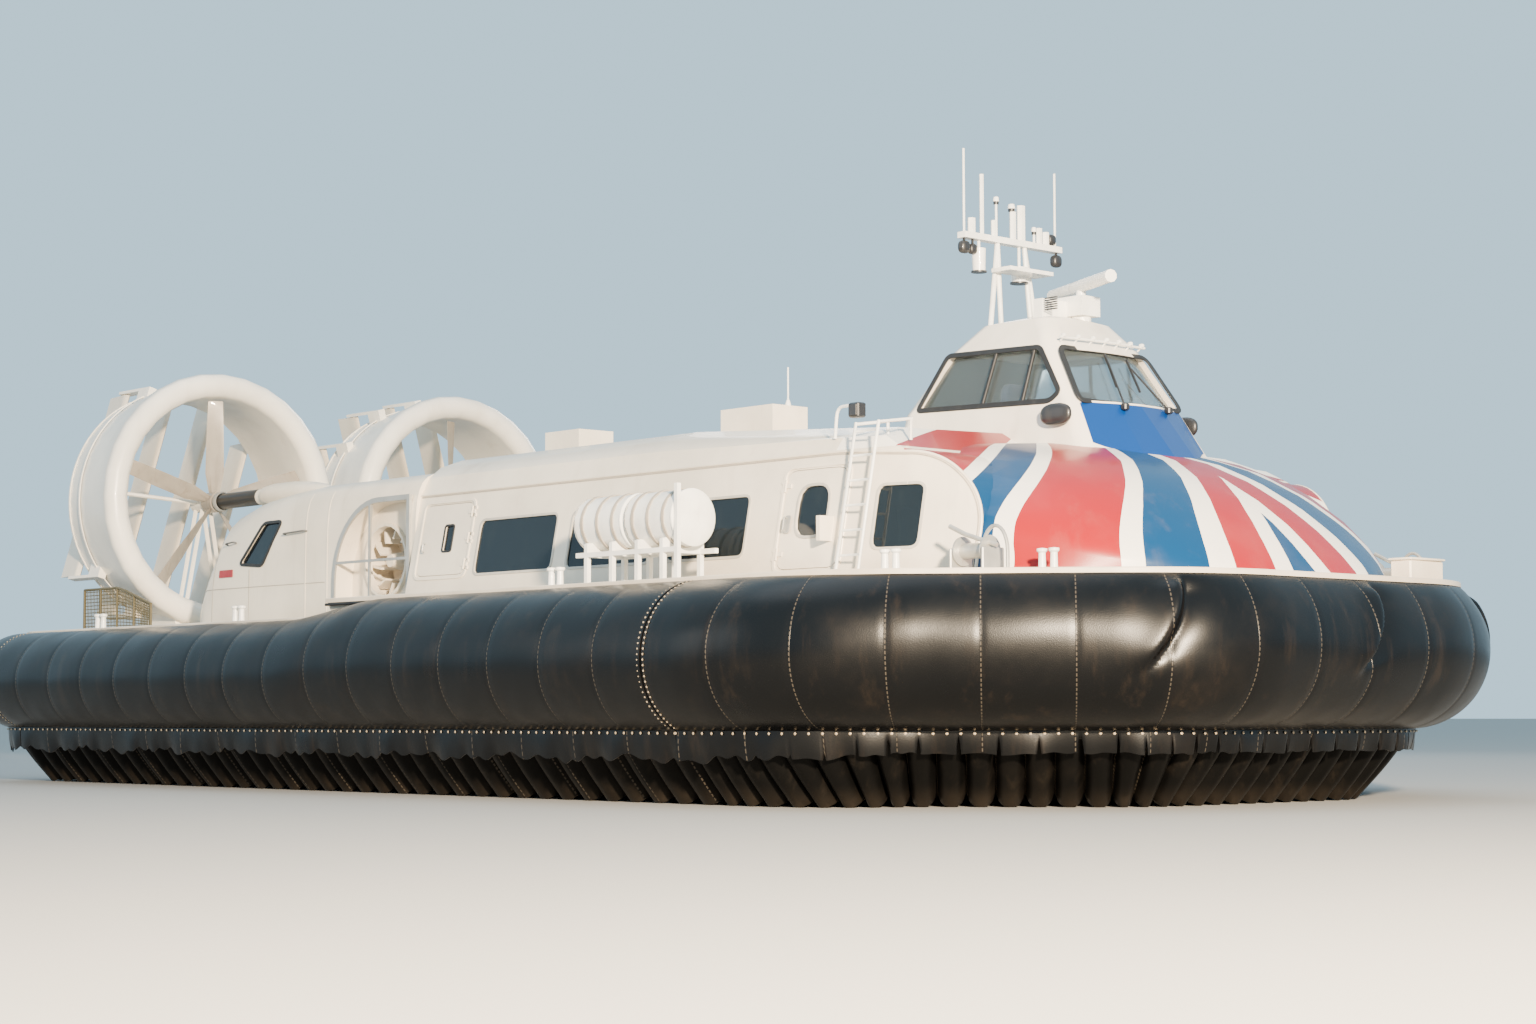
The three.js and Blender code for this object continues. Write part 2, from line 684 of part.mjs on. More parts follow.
function makeSuperstructure() {
  const outer = cabinBody(0, cabin.aftX);
  const inner = cabinBody(-cabin.wall, cabin.aftX - 500);
  const around = cabinBody(seat, cabin.aftX - 10);
  const domeIn = noseBody(-nose.wall);
  const domeAround = noseBody(seat);
  const house = wheelhouseBody(0);
  const houseRoom = wheelhouseBody(-wheelhouse.wall, 400);

  const shell = outer.subtract(inner).subtract(domeIn.add(houseRoom));
  const low = box(-3000, 12000, -6000, -1, 2600, cabin.gutterZ);
  const high = box(-3000, 12000, -6000, 6000, cabin.gutterZ + seat, 6000);

  const doorRoom = throughWall(rectangle(door.x0, door.x1, door.z0, door.z1), door.radius);
  const hatchRoom = throughWall(rectangle(hatch.x0, hatch.x1, hatch.z0, hatch.z1), hatch.radius);
  const panes = sideWindows.map((w) => prismSide(roundedShape(
    rectangle(w.x0, w.x1, windowZ.bottom, windowZ.top), windowZ.radius), -6000, -3000));

  let side = shell.intersect(low).subtract(doorRoom).subtract(hatchRoom);
  for (const pane of panes) side = side.subtract(pane);
  addPair('cabin_side', join([side, doorHinges.frame, hatchHinges.frame]), 'cabin');

  const unitPlaces = [
    { x0: 2830, x1: 3880, y: 1900, half: 320, foot: 4840, top: 5220 },
    { x0: -1100, x1: -300, y: 1900, half: 320, foot: 4840, top: 5220 },
  ];
  let roof = shell.intersect(high);
  for (const unit of unitPlaces) {
    for (const y of [-unit.y, unit.y]) {
      roof = roof.add(box(unit.x0, unit.x1, y - unit.half, y + unit.half, unit.foot, unit.top));
    }
  }
  addPiece('cabin_roof', roof, 'cabin');

  const aftPlate = box(cabin.aftX, cabin.aftX + 60, -6000, 6000, 2600, 6000);
  addPiece('cabin_aft_wall', cabinBody(-cabin.wall - seat, cabin.aftX).intersect(aftPlate), 'cabin');

  const dome = noseBody(0).subtract(domeIn).subtract(around).subtract(houseRoom);
  addPiece('nose_shell', dome, 'nose');

  const houseWalls = house.subtract(houseRoom).subtract(around).subtract(domeAround)
    .subtract(prismSide(roundedShape(sidePane, 70), -3000, 3000))
    .subtract(prismEnd(roundedShape(frontPane, 110), 7500, 10500));
  addPiece('wheelhouse', houseWalls, 'cabin');

  const glassBand = wheelhouseBody(-wheelhouse.wall - seat).subtract(
    wheelhouseBody(-wheelhouse.wall - wheelhouse.glass));
  addPiece('wheelhouse_glass', glassBand.intersect(box(4000, 11000, -3000, 3000, ...wheelhouse.glassZ)), 'glass');

  const stripOver = 140; // the glass strip behind the wall is this much longer than its windows
  const strip = prismSide(roundedShape(rectangle(sideWindows[0].x0 - stripOver, sideWindows[2].x1 + stripOver,
    windowZ.bottom - 80, windowZ.top + 90), 60), -6000, -3000);
  const sideGlass = cabinBody(-cabin.wall - seat, cabin.aftX)
    .subtract(cabinBody(-cabin.wall - wheelhouse.glass, cabin.aftX - 100))
    .intersect(strip);
  addPair('cabin_glass', sideGlass, 'glass');

  return { outer, inner };
}

// Doors and hatches are cut from the same leaning wall as the cabin sides
function makePanels({ outer, inner }) {
  const wall = outer.subtract(inner);
  const leaf = (p) => wall.intersect(throughWall(rectangle(
    p.x0 + p.gap, p.x1 - p.gap, p.z0 + p.gap, p.z1 - p.gap), p.radius - p.gap));
  const doorPane = prismSide(roundedShape(rectangle(...door.pane), door.paneRadius), -6000, -3000);
  addPair('cabin_door', join([leaf(door).subtract(doorPane), box(...door.handle), doorHinges.leaf]), 'cabin');
  const hatchPane = prismSide(roundedShape(rectangle(...hatch.pane), hatch.paneRadius), -6000, -3000);
  addPair('service_hatch', leaf(hatch).subtract(hatchPane).add(hatchHinges.leaf), 'cabin');
}

// One seat of a row from the side: pan, back and foot
const seatOutline = [
  [0, 0], [380, 0], [380, 330], [460, 330], [460, 440], [110, 440], [40, 1080], [-60, 1080], [0, 330],
];
const seating = { rows: 8, x: -1100, pitch: 860, yIn: 500, yOut: 3650 };
const cabinFloor = { x0: -1720, x1: 7600, half: 3950, thick: 60 };
const helm = {
  z: 4330, slab: 50, x0: 5700, x1: 8350, half: 1150,
  pillar: { x0: 6250, x1: 7100, half: 350 },
  console: { x0: 7750, x1: 8100, half: 950, top: 4830 },
  chair: { y: 650, half: 260, pan: [6850, 7350, 4680], back: [6780, 6900, 5300] },
};

function makeInterior() {
  const floorTop = deck.z + cabinFloor.thick;
  const parts = [box(cabinFloor.x0, cabinFloor.x1, -cabinFloor.half, cabinFloor.half, deck.z + seat, floorTop)];
  const row = new THREE.Shape(seatOutline.map(([x, z]) => new THREE.Vector2(x, z)));
  for (let i = 0; i < seating.rows; i += 1) {
    for (const [y0, y1] of [[-seating.yOut, -seating.yIn], [seating.yIn, seating.yOut]]) {
      parts.push(shifted(prismSide(row, y0, y1), seating.x + i * seating.pitch, 0, floorTop - 10));
    }
  }
  addPiece('cabin_floor_seats', join(parts), 'seats');

  const { pillar, console, chair } = helm;
  const block = ([x0, x1, top], y, half) => box(x0, x1, y - half, y + half, helm.z - 10, top);
  addPiece('helm', join([
    box(helm.x0, helm.x1, -helm.half, helm.half, helm.z - helm.slab, helm.z),
    box(pillar.x0, pillar.x1, -pillar.half, pillar.half, floorTop + seat, helm.z + 10),
    block([console.x0, console.x1, console.top], 0, console.half),
    ...[-chair.y, chair.y].flatMap((y) => [block(chair.pan, y, chair.half), block(chair.back, y, chair.half - 10)]),
  ]), 'seats');
}

// Pods: the shell over the engine and the lift fan, with the fan intake in its outer wall

function podBody(grow, dropZ = 0) {
  return loft(podStations.map((s, i) => {
    const last = i === podStations.length - 1;
    const shift = i === 0 ? -grow : (last ? Math.min(0, grow) : 0);
    return arch(s.x + shift, -pod.y, s.half + grow, deck.aftZ + seat - dropZ, s.rise + grow + dropZ,
      s.power, 8);
  }));
}

// Outline of the fan intake: square at the front, a wide arch at the back
function intakeShape(grow) {
  const shape = new THREE.Shape();
  const x0 = intake.x0 - grow;
  const x1 = intake.x1 + grow;
  const z0 = intake.z0 - grow;
  const z1 = intake.z1 + grow;
  const radius = intake.arch + grow;
  shape.moveTo(x0, z0);
  shape.lineTo(x1, z0);
  shape.lineTo(x1, z1);
  shape.absarc(x0 + radius, z1 - radius, radius, Math.PI / 2, Math.PI, false);
  shape.closePath();
  return shape;
}

function ringAboutY(radius, y0, y1, sides) {
  return bar([fan.x, y0, fan.z], [fan.x, y1, fan.z], radius, sides);
}

function makePods() {
  const wallY = -pod.y - pod.half;
  const backY = wallY + intake.recess;
  let shell = podBody(0).subtract(podBody(-pod.wall, 200));
  shell = shell.subtract(prismSide(intakeShape(0), -6000, backY, 6));
  shell = shell.subtract(prismSide(roundedShape(podWindow, 90), -6000, -3000));
  const rimY = wallY + intake.rimIn;
  const frame = prismSide(intakeShape(intake.rim), rimY, backY + 30, 6)
    .subtract(prismSide(intakeShape(0), wallY - 100, backY, 6));
  const housing = ringAboutY(fan.housing, backY, backY + fan.depth, 20)
    .subtract(ringAboutY(fan.housing - fan.shell, backY - 10, backY + fan.depth - fan.shell, 20));
  const inlet = ringAboutY(fan.eye, backY - 60, backY + 60, 20);
  const hole = ringAboutY(fan.eye - 45, backY - 200, backY + 200, 20);
  const stub = ringAboutY(fan.spindle * 1.5, backY + fan.depth - 60, backY + fan.depth - 20, 12);
  const whole = join([shell, frame.add(housing).add(inlet).subtract(hole), stub]);
  addPair('machinery_pod', whole, 'pod');

  const depth = fan.width;
  const plate = bar([0, depth, 0], [0, depth + 25, 0], fan.tip, 20);
  const cone = bar([0, -30, 0], [0, depth + 10, 0], fan.hub * 0.5, 16, fan.hub);
  const blades = [];
  for (let i = 0; i < fan.blades; i += 1) {
    const turn = new THREE.Matrix4().makeRotationY((2 * Math.PI * i) / fan.blades);
    const sweep = new THREE.Matrix4().makeRotationY(fan.sweep * rad);
    const blade = box(-fan.bladeHalf, fan.bladeHalf, 20, depth + 10, 0, fan.tip - fan.bladeRoot);
    const root = new THREE.Matrix4().makeTranslation(0, 0, fan.bladeRoot);
    blades.push(carried(blade, turn.multiply(root).multiply(sweep)));
  }
  const spindle = bar([0, depth, 0], [0, fan.depth - 120 - seat, 0], fan.spindle, 12);
  addPair('lift_fan', join([plate, cone, spindle, ...blades]), 'steel', [fan.x, backY + 60, fan.z]);

  const guardY = wallY - intake.rimIn;
  const edge = prismSide(intakeShape(intake.rim + 30), guardY, rimY - seat, 6)
    .subtract(prismSide(intakeShape(0), wallY - 100, wallY + 100, 6));
  const middle = (intake.x0 + intake.x1) / 2 - intake.bar;
  const upright = box(middle - intake.bar, middle + intake.bar, guardY, rimY - seat, intake.z0 - 20, intake.z1 + 20);
  const cross = box(intake.x0 - 10, intake.x1 + 10, guardY, rimY - seat, fan.z - 30, fan.z + 10);
  addPair('intake_guard', join([edge, upright, cross]).subtract(podBody(seat)), 'steel');

  const block = box(engine.x0, engine.x1, -pod.y - engine.half, -pod.y + engine.half,
    deck.aftZ + seat, deck.aftZ + engine.height);
  addPair('engine', block, 'machine');
}

// Ducts: a fat round lip, a short barrel, the bearing pylon and the rudder brackets

function rudderPlaces() {
  const places = [];
  const tilt = rudder.lean * rad;
  for (let k = 0; k < rudder.count; k += 1) {
    const aside = (k - (rudder.count - 1) / 2) * rudder.pitch;
    const inset = aside * Math.cos(tilt);
    const half = Math.sqrt(duct.exitIn ** 2 - inset ** 2) + rudder.over;
    const footY = -duct.y + inset * Math.cos(tilt);
    const footZ = duct.z - inset * Math.sin(tilt);
    places.push({ half, footY, footZ });
  }
  return places;
}

// Moves a solid drawn about the origin, spanning along z, onto a rudder's leaning axis
function ontoAxis(solid, place) {
  const lean = new THREE.Matrix4().makeRotationX(-rudder.lean * rad);
  lean.setPosition(rudder.x, place.footY, place.footZ);
  return carried(solid, lean);
}

function makeDucts() {
  const profile = [[duct.exitIn, duct.exitX], [duct.throat, duct.barrelX], [duct.throat, duct.lipX]];
  for (let i = 0; i <= 5; i += 1) {
    const angle = Math.PI - (Math.PI * i) / 5;
    profile.push([
      duct.lipMid + duct.lipRadius * Math.cos(angle),
      duct.lipX + duct.lipRadius * Math.sin(angle),
    ]);
  }
  profile.push(duct.shoulder, duct.skirt, [duct.exitOut, duct.exitX]);
  const ring = turned(profile, -duct.y, duct.z, duct.sides);

  const parts = [ring];
  parts.push(bar([bearing.x0, -duct.y, duct.z], [bearing.x1, -duct.y, duct.z], bearing.radius, 16));
  const { saddle } = duct;
  const middle = (bearing.x0 + bearing.x1) / 2;
  for (const side of [-1, 1]) {
    for (const x of [middle - 110, middle + 110]) {
      parts.push(bar([x, -duct.y + side * 380, duct.z - duct.exitIn + 5], [x, -duct.y + side * 66, duct.z - 60],
        duct.strutR, 6));
    }
    parts.push(bar([middle, -duct.y, duct.z], [middle, -duct.y + side * (duct.throat + 50), duct.z + 120],
      duct.armR, 6));
    const y = -duct.y + side * saddle.y;
    parts.push(box(saddle.x0, saddle.x1, y - saddle.half, y + saddle.half, deck.aftZ + seat, duct.z - saddle.down));
  }
  for (const place of rudderPlaces()) {
    for (const end of [-1, 1]) {
      const near = end * (place.half - 230);
      const far = end * (place.half + 62);
      const { half, rootX, reachX } = bracket;
      const root = box(reachX - half, rootX, -half, half, Math.min(near, far), Math.max(near, far));
      const face = end * (place.half + runGap);
      const arm = box(-half, reachX, -half, half, Math.min(face, far), Math.max(face, far));
      parts.push(ontoAxis(root.add(arm), place));
    }
  }
  addPair('duct', join(parts), 'pod');

  const hub = bar([-propeller.hubHalf, 0, 0], [propeller.hubHalf, 0, 0], propeller.hub, 20);
  const stub = bar([bearing.x1 - propeller.x + seat, 0, 0], [0, 0, 0], propeller.stub, 12);
  const blades = [];
  for (let i = 0; i < propeller.blades; i += 1) {
    const blade = loft(propeller.stations.map(([r, thick, pitch], at) => {
      const span = (r - propeller.stations[0][0]) / (propeller.tip - propeller.stations[0][0]);
      const chord = mix(propeller.rootChord, propeller.tipChord, span) * (at === 0 ? 0.55 : 1);
      const c = Math.cos(pitch * rad);
      const s = Math.sin(pitch * rad);
      return [[-0.5, 0], [-0.2, 0.5], [0.25, 0.35], [0.5, 0], [0.25, -0.35], [-0.2, -0.5]].map(([u, v]) => [
        u * chord * s + v * thick * c,
        u * chord * c - v * thick * s,
        r,
      ]);
    }));
    blades.push(carried(blade, new THREE.Matrix4().makeRotationX((2 * Math.PI * i) / propeller.blades)));
  }
  addPair('propeller', join([hub, stub, ...blades]), 'blade', [propeller.x, -duct.y, duct.z]);

  rudderPlaces().forEach((place, k) => {
    const outline = [[0, rudder.nose], [0.5, rudder.nose - 60], [0.5, 60], [0, -rudder.tail],
      [-0.5, 60], [-0.5, rudder.nose - 60]];
    const plate = loft([-place.half, place.half].map((z) => outline.map(([u, x]) => [x, u * rudder.thick, z])));
    const reach = place.half + runGap - seat;
    const vane = plate.add(bar([0, 0, -reach], [0, 0, reach], 32, 8));
    addPair(`rudder_${k + 1}`, vane, 'pod', [rudder.x, place.footY, place.footZ], -rudder.lean * rad);
  });
}

// Drive shaft casings: a black tube from the propeller to a pointed fairing on the pod roof
function makeShafts() {
  const tubeAft = propeller.x + propeller.hubHalf + runGap;
  const tube = bar([tubeAft, -duct.y, duct.z], [shaft.foreX + 100, -duct.y, duct.z], shaft.radius, 16);
  const stations = [[0, 0.86], [0.12, 1], [0.45, 1], [0.7, 0.8], [0.88, 0.48], [1, 0.1]];
  const fairing = loft(stations.map(([t, s]) => {
    const x = mix(shaft.foreX - 30, shaft.noseX, t);
    const points = [];
    for (let i = 0; i < 14; i += 1) {
      const angle = (2 * Math.PI * i) / 14;
      points.push([x, -duct.y + shaft.fairing * s * Math.cos(angle),
        duct.z + 10 + shaft.fairing * 0.85 * s * Math.sin(angle)]);
    }
    return points;
  }));
  const pylon = box(-8150, -7000, -duct.y - 110, -duct.y + 110, 4000, duct.z);
  addPair('shaft_casing', join([tube, fairing, pylon]).subtract(podBody(seat)), 'black');
}

function makeMast() {
  const parts = [];
  const yardY = mastDims.yardHalf;
  parts.push(box(mastDims.x - 70, mastDims.x + 70, -yardY, yardY, mastDims.yardZ - 40, mastDims.yardZ + 40));
  for (const side of [-1, 1]) {
    const apex = [mastDims.x, side * mastDims.apexY, mastDims.yardZ];
    for (const { ahead, y, z } of mastDims.feet) {
      parts.push(bar([mastDims.x + ahead, side * y, z], apex, mastDims.leg));
    }
  }
  parts.push(box(mastDims.x + 40, mastDims.x + 380, -420, 420, 6900, 6950)); // a step for the lamps
  // Whips and lamps on the yard: place across, height, radius
  const poles = [
    { y: -900, height: 1150, radius: 16 },
    { y: -560, height: 850, radius: 30 },
    { y: 880, height: 1050, radius: 16 },
    { y: -760, height: 240, radius: 55 },
    { y: -330, height: 260, radius: 40 },
    { y: 40, height: 420, radius: 45 },
    { y: 200, height: 520, radius: 60 },
    { y: 560, height: 260, radius: 45 },
    { y: 690, height: 220, radius: 50 },
  ];
  for (const p of poles) {
    parts.push(bar([mastDims.x, p.y, mastDims.yardZ], [mastDims.x, p.y, mastDims.yardZ + p.height], p.radius, 6));
  }
  const roofSkin = wheelhouseBody(seat);
  addPiece('mast', join(parts).subtract(roofSkin), 'mast');

  const base = join([
    bar([radar.x, radar.y, radar.deckZ - 140], [radar.x, radar.y, radar.boxTop], 130, 12),
    box(radar.x - 300, radar.x + 170, radar.y - 180, radar.y + 180, radar.deckZ + 60, radar.boxTop),
    box(radar.x - 250, radar.x - 100, -400, radar.y, radar.deckZ - 60, radar.boxTop - 60),
  ]);
  addPiece('radar_pedestal', base.subtract(roofSkin), 'mast');
  const arm = join([
    bar([0, 0, seat], [0, 0, 90], 70, 12),
    bar([-radar.arm, 0, 150], [radar.arm, 0, 150], 85, 10),
  ]);
  const parked = carried(arm, new THREE.Matrix4().makeRotationZ(radar.turn * rad));
  addPiece('radar_scanner', parked, 'mast', [radar.x, radar.y, radar.boxTop]);
}

// Life raft canisters in their cradle on the side deck, and the boarding ladder

const rack = {
  y: -4960, half: 300, leg: 30, footIn: 200, cans: [[3560, 4460], [4560, 5440]], can: { radius: 355, z: 3480 },
  postX: 5540, postTop: 3880,
};
const ladder = { aft: 7290, fore: 7680, top: 4560, off: 130, over: 560, rail: 20, rung: 16, firstZ: 2950, step: 300 };

function makeDeckGear() {
  const { can, leg, y } = rack;
  const parts = [];
  // A post or rail of the rack: from x0 to x1, on the line y, between two levels
  const stick = (x0, x1, at, z0, z1) => box(x0, x1, at - leg, at + leg, z0, z1);
  for (const [x0, x1] of rack.cans) {
    parts.push(bar([x0, y, can.z], [x1, y, can.z], can.radius, 14));
    for (const x of [x0 + rack.footIn, x1 - rack.footIn]) {
      parts.push(box(x - leg, x + leg, y - rack.half, y + rack.half, can.z - 430, can.z - 250));
      for (const at of [y - rack.half, y + rack.half]) {
        parts.push(stick(x - leg, x + leg, at, deck.z + seat, can.z - 260));
      }
    }
  }
  for (const at of [y - rack.half, y + rack.half]) {
    parts.push(stick(rack.cans[0][0], rack.postX, at, can.z - 430, can.z - 370));
  }
  parts.push(stick(rack.postX - 2 * leg, rack.postX, y - rack.half, deck.z + seat, rack.postTop));
  addPair('liferaft_rack', join(parts), 'mast');

  // The ladder leans with the wall, stands off it, and hooks over the roof edge
  const { aft, fore, top, rail, rung, over } = ladder;
  const lean = (z) => -cabin.halfWidth + (cabin.lean * (z - deck.z)) / (cabin.gutterZ - deck.z) - ladder.off;
  const rails = [];
  for (const x of [aft, fore]) {
    rails.push(bar([x, lean(deck.z), deck.z + 8], [x, lean(top), top], rail, 6));
    rails.push(bar([x, lean(top), top - rail], [x, lean(top) + over, top + 60], rail, 6));
    rails.push(bar([x, lean(top) + over - rail, top + 60], [x, lean(top) + over - rail, top - 200], rail, 6));
  }
  for (let z = ladder.firstZ; z < top; z += ladder.step) {
    rails.push(bar([aft, lean(z), z], [fore, lean(z), z], rung, 5));
  }
  addPiece('ladder_starboard', join(rails).subtract(cabinBody(seat, cabin.aftX)), 'mast');
}

addPiece('hull', makeHull(), 'hull');
makePads();
makeSkirt();
makePanels(makeSuperstructure());
makeInterior();
makePods();
makeDucts();
makeShafts();
makeMast();
makeDeckGear();

root.position.x = midships;

export default root;
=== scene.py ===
import math

import bmesh
import bpy
import numpy as np
from mathutils import Matrix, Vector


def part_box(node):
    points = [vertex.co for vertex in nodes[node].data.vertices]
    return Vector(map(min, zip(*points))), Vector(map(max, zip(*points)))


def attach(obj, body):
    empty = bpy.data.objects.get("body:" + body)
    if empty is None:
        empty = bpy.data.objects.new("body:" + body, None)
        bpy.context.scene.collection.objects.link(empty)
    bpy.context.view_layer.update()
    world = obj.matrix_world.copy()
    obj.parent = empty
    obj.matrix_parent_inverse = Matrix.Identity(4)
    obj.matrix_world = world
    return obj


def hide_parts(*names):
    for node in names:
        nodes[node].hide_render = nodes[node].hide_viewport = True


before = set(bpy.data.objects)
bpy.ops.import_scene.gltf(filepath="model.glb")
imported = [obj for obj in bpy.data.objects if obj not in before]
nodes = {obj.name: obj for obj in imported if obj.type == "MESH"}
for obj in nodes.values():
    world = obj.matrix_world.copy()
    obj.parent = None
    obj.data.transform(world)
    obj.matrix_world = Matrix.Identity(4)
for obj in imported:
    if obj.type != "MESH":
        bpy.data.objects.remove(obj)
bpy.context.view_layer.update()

# Passenger hovercraft. Metres, +X to the bow, +Y to port, the floor at z = 0.
# Pieces are drawn to starboard, and their lengths along the craft start at the middle of the raft.
# makePiece moves them by midships to the frame's origin, and bothSides turns them over for port.
midships = 0.241
sides = ("starboard", "port")
print("frame loaded", len(nodes), "nodes")

# Where the photograph was taken from, with the angles in radians
camera = {"eye": (30.5040107, -26.1953972, 1.085206), "yaw": 0.834923294, "pitch": 0.0751128,
          "roll": -0.001755, "lens": 62.889, "sensor": 36.0, "far": 500}


def placeThing(name, data, place, axes):
    # axes are the directions of the thing's own x, y and z
    thing = bpy.data.objects.new(name, data)
    bpy.context.scene.collection.objects.link(thing)
    thing.matrix_world = Matrix.Translation(place) @ Matrix(np.column_stack(axes).tolist()).to_4x4()
    return thing


def placeCamera(c):
    look = np.array([-math.sin(c["yaw"]) * math.cos(c["pitch"]), math.cos(c["yaw"]) * math.cos(c["pitch"]),
                     math.sin(c["pitch"])])
    right = np.array([math.cos(c["yaw"]), math.sin(c["yaw"]), 0.0])
    up = np.cross(right, look)
    cosRoll, sinRoll = math.cos(c["roll"]), math.sin(c["roll"])
    right, up = cosRoll * right + sinRoll * up, -sinRoll * right + cosRoll * up
    data = bpy.data.cameras.new("camera")
    data.lens, data.sensor_width, data.sensor_fit = c["lens"], c["sensor"], "HORIZONTAL"
    data.clip_end = c["far"]
    bpy.context.scene.camera = placeThing("camera", data, c["eye"], [right, up, -look])


placeCamera(camera)

studio = {
    "floor": (0.32, 0.315, 0.305), "floorHalf": 400, "floorRough": 0.9, "sky": (0.57, 0.83, 1.0), "skyStrength": 1.2,
    "lights": [
        # name, place, aimed at, size, power in watts, colour
        ("key", (39, -23, 11.5), (1, -3, 2.5), 2.4, 88000, (1.0, 0.80, 0.56)),
        ("fill", (-16, -38, 14), (-4, 0, 3), 22, 2400, (0.96, 0.93, 0.88)),
        ("top", (0, -4, 32), (0, 0, 2), 26, 2600, (0.92, 0.95, 1.0)),
        ("rim", (-22, 26, 16), (-4, 0, 3), 14, 3600, (1.0, 0.93, 0.84)),
    ],
}


def unit(vectors):
    return vectors / np.maximum(1e-9, np.linalg.norm(vectors, axis=-1, keepdims=True))


def makeStudio(s):
    half = s["floorHalf"]
    mesh = bpy.data.meshes.new("floor")
    mesh.from_pydata([(-half, -half, 0), (half, -half, 0), (half, half, 0), (-half, half, 0)], [], [(0, 1, 2, 3)])
    paint = bpy.data.materials.new("floorPaint")
    paint.use_nodes = True
    shader = paint.node_tree.nodes["Principled BSDF"]
    shader.inputs["Base Color"].default_value = (*s["floor"], 1)
    shader.inputs["Roughness"].default_value = s["floorRough"]
    mesh.materials.append(paint)
    floor = placeThing("floor", mesh, (0, 0, 0), np.eye(3))
    world = bpy.data.worlds.new("studio")
    bpy.context.scene.world = world
    world.use_nodes = True
    sky = world.node_tree.nodes["Background"]
    sky.inputs["Color"].default_value = (*s["sky"], 1)
    sky.inputs["Strength"].default_value = s["skyStrength"]
    for name, place, aim, size, power, color in s["lights"]:
        data = bpy.data.lights.new(name, "AREA")
        data.shape, data.size, data.energy, data.color = "DISK", size, power, color
        back = unit(np.subtract(place, aim).astype(float))
        across = unit(np.cross([0.0, 0.0, 1.0], back))
        placeThing(name, data, place, [across, np.cross(back, across), back])


makeStudio(studio)
print("camera, floor and lights placed")


# Shader helpers. A value is a number, a colour or another node's output.

def feed(tree, value, socket):
    if isinstance(value, tuple):
        socket.default_value = (*value, 1)
    elif isinstance(value, (int, float)):
        socket.default_value = value
    else:
        tree.links.new(value, socket)


def calc(tree, operation, *values):
    node = tree.nodes.new("ShaderNodeMath")
    node.operation = operation
    for socket, value in zip(node.inputs, values):
        feed(tree, value, socket)
    return node.outputs[0]


def times(tree, made, *others):
    for value in others:
        made = calc(tree, "MULTIPLY", made, value)
    return made


def plus(tree, made, *others):
    for value in others:
        made = calc(tree, "ADD", made, value)
    return made


def between(tree, value, low, high, toLow=0.0, toHigh=1.0):
    node = tree.nodes.new("ShaderNodeMapRange")
    node.interpolation_type = "SMOOTHSTEP"
    feed(tree, value, node.inputs["Value"])
    for label, number in (("From Min", low), ("From Max", high), ("To Min", toLow), ("To Max", toHigh)):
        node.inputs[label].default_value = number
    return node.outputs["Result"]


def past(tree, value, at, soft):
    return between(tree, value, at - soft, at + soft)


def short(tree, value, at, soft):
    return between(tree, value, at - soft, at + soft, 1.0, 0.0)


def axesOf(tree, vector):
    split = tree.nodes.new("ShaderNodeSeparateXYZ")
    feed(tree, vector, split.inputs[0])
    return [split.outputs[k] for k in "XYZ"]


def distance(tree, one, two):
    return calc(tree, "SQRT", plus(tree, times(tree, one, one), times(tree, two, two)))


def noise(tree, vector, scale, detail, stretch=(1, 1, 1), roughness=0.55):
    mapping = tree.nodes.new("ShaderNodeMapping")
    mapping.inputs["Scale"].default_value = stretch
    feed(tree, vector, mapping.inputs["Vector"])
    node = tree.nodes.new("ShaderNodeTexNoise")
    for label, value in (("Vector", mapping.outputs[0]), ("Scale", scale), ("Detail", detail),
                         ("Roughness", roughness)):
        feed(tree, value, node.inputs[label])
    return node.outputs["Fac"]


def blendColor(tree, mask, first, second):
    node = tree.nodes.new("ShaderNodeMix")
    node.data_type = "RGBA"
    for place, value in ((0, mask), (6, first), (7, second)):
        feed(tree, value, node.inputs[place])
    return node.outputs[2]


weathering = {"cloudDetail": 4.0, "streakScale": 2.6, "streakDetail": 5.0, "streakStretch": (1, 1, 0.12),
              "streakRough": 0.65, "streakRange": (0.52, 0.78), "grainScale": 60.0, "grainDetail": 2.0}


def makeWeather(w):
    # Salt, dust and rain streaks: a broad cloud, a cloud pulled out down the wall, and a fine grain
    group = bpy.data.node_groups.new("saltAndStreaks", "ShaderNodeTree")
    add = group.interface.new_socket
    add("Vector", in_out="INPUT", socket_type="NodeSocketVector")
    add("Scale", in_out="INPUT", socket_type="NodeSocketFloat").default_value = 1.0
    for label in ("Cloud", "Streak", "Grain"):
        add(label, in_out="OUTPUT", socket_type="NodeSocketFloat")
    start, end = group.nodes.new("NodeGroupInput"), group.nodes.new("NodeGroupOutput")
    vector, scale = start.outputs["Vector"], start.outputs["Scale"]
    feed(group, noise(group, vector, scale, w["cloudDetail"]), end.inputs["Cloud"])
    streak = noise(group, vector, times(group, scale, w["streakScale"]), w["streakDetail"], w["streakStretch"],
                   w["streakRough"])
    feed(group, between(group, streak, *w["streakRange"]), end.inputs["Streak"])
    grain = noise(group, vector, times(group, scale, w["grainScale"]), w["grainDetail"])
    feed(group, grain, end.inputs["Grain"])
    return group


weather = makeWeather(weathering)


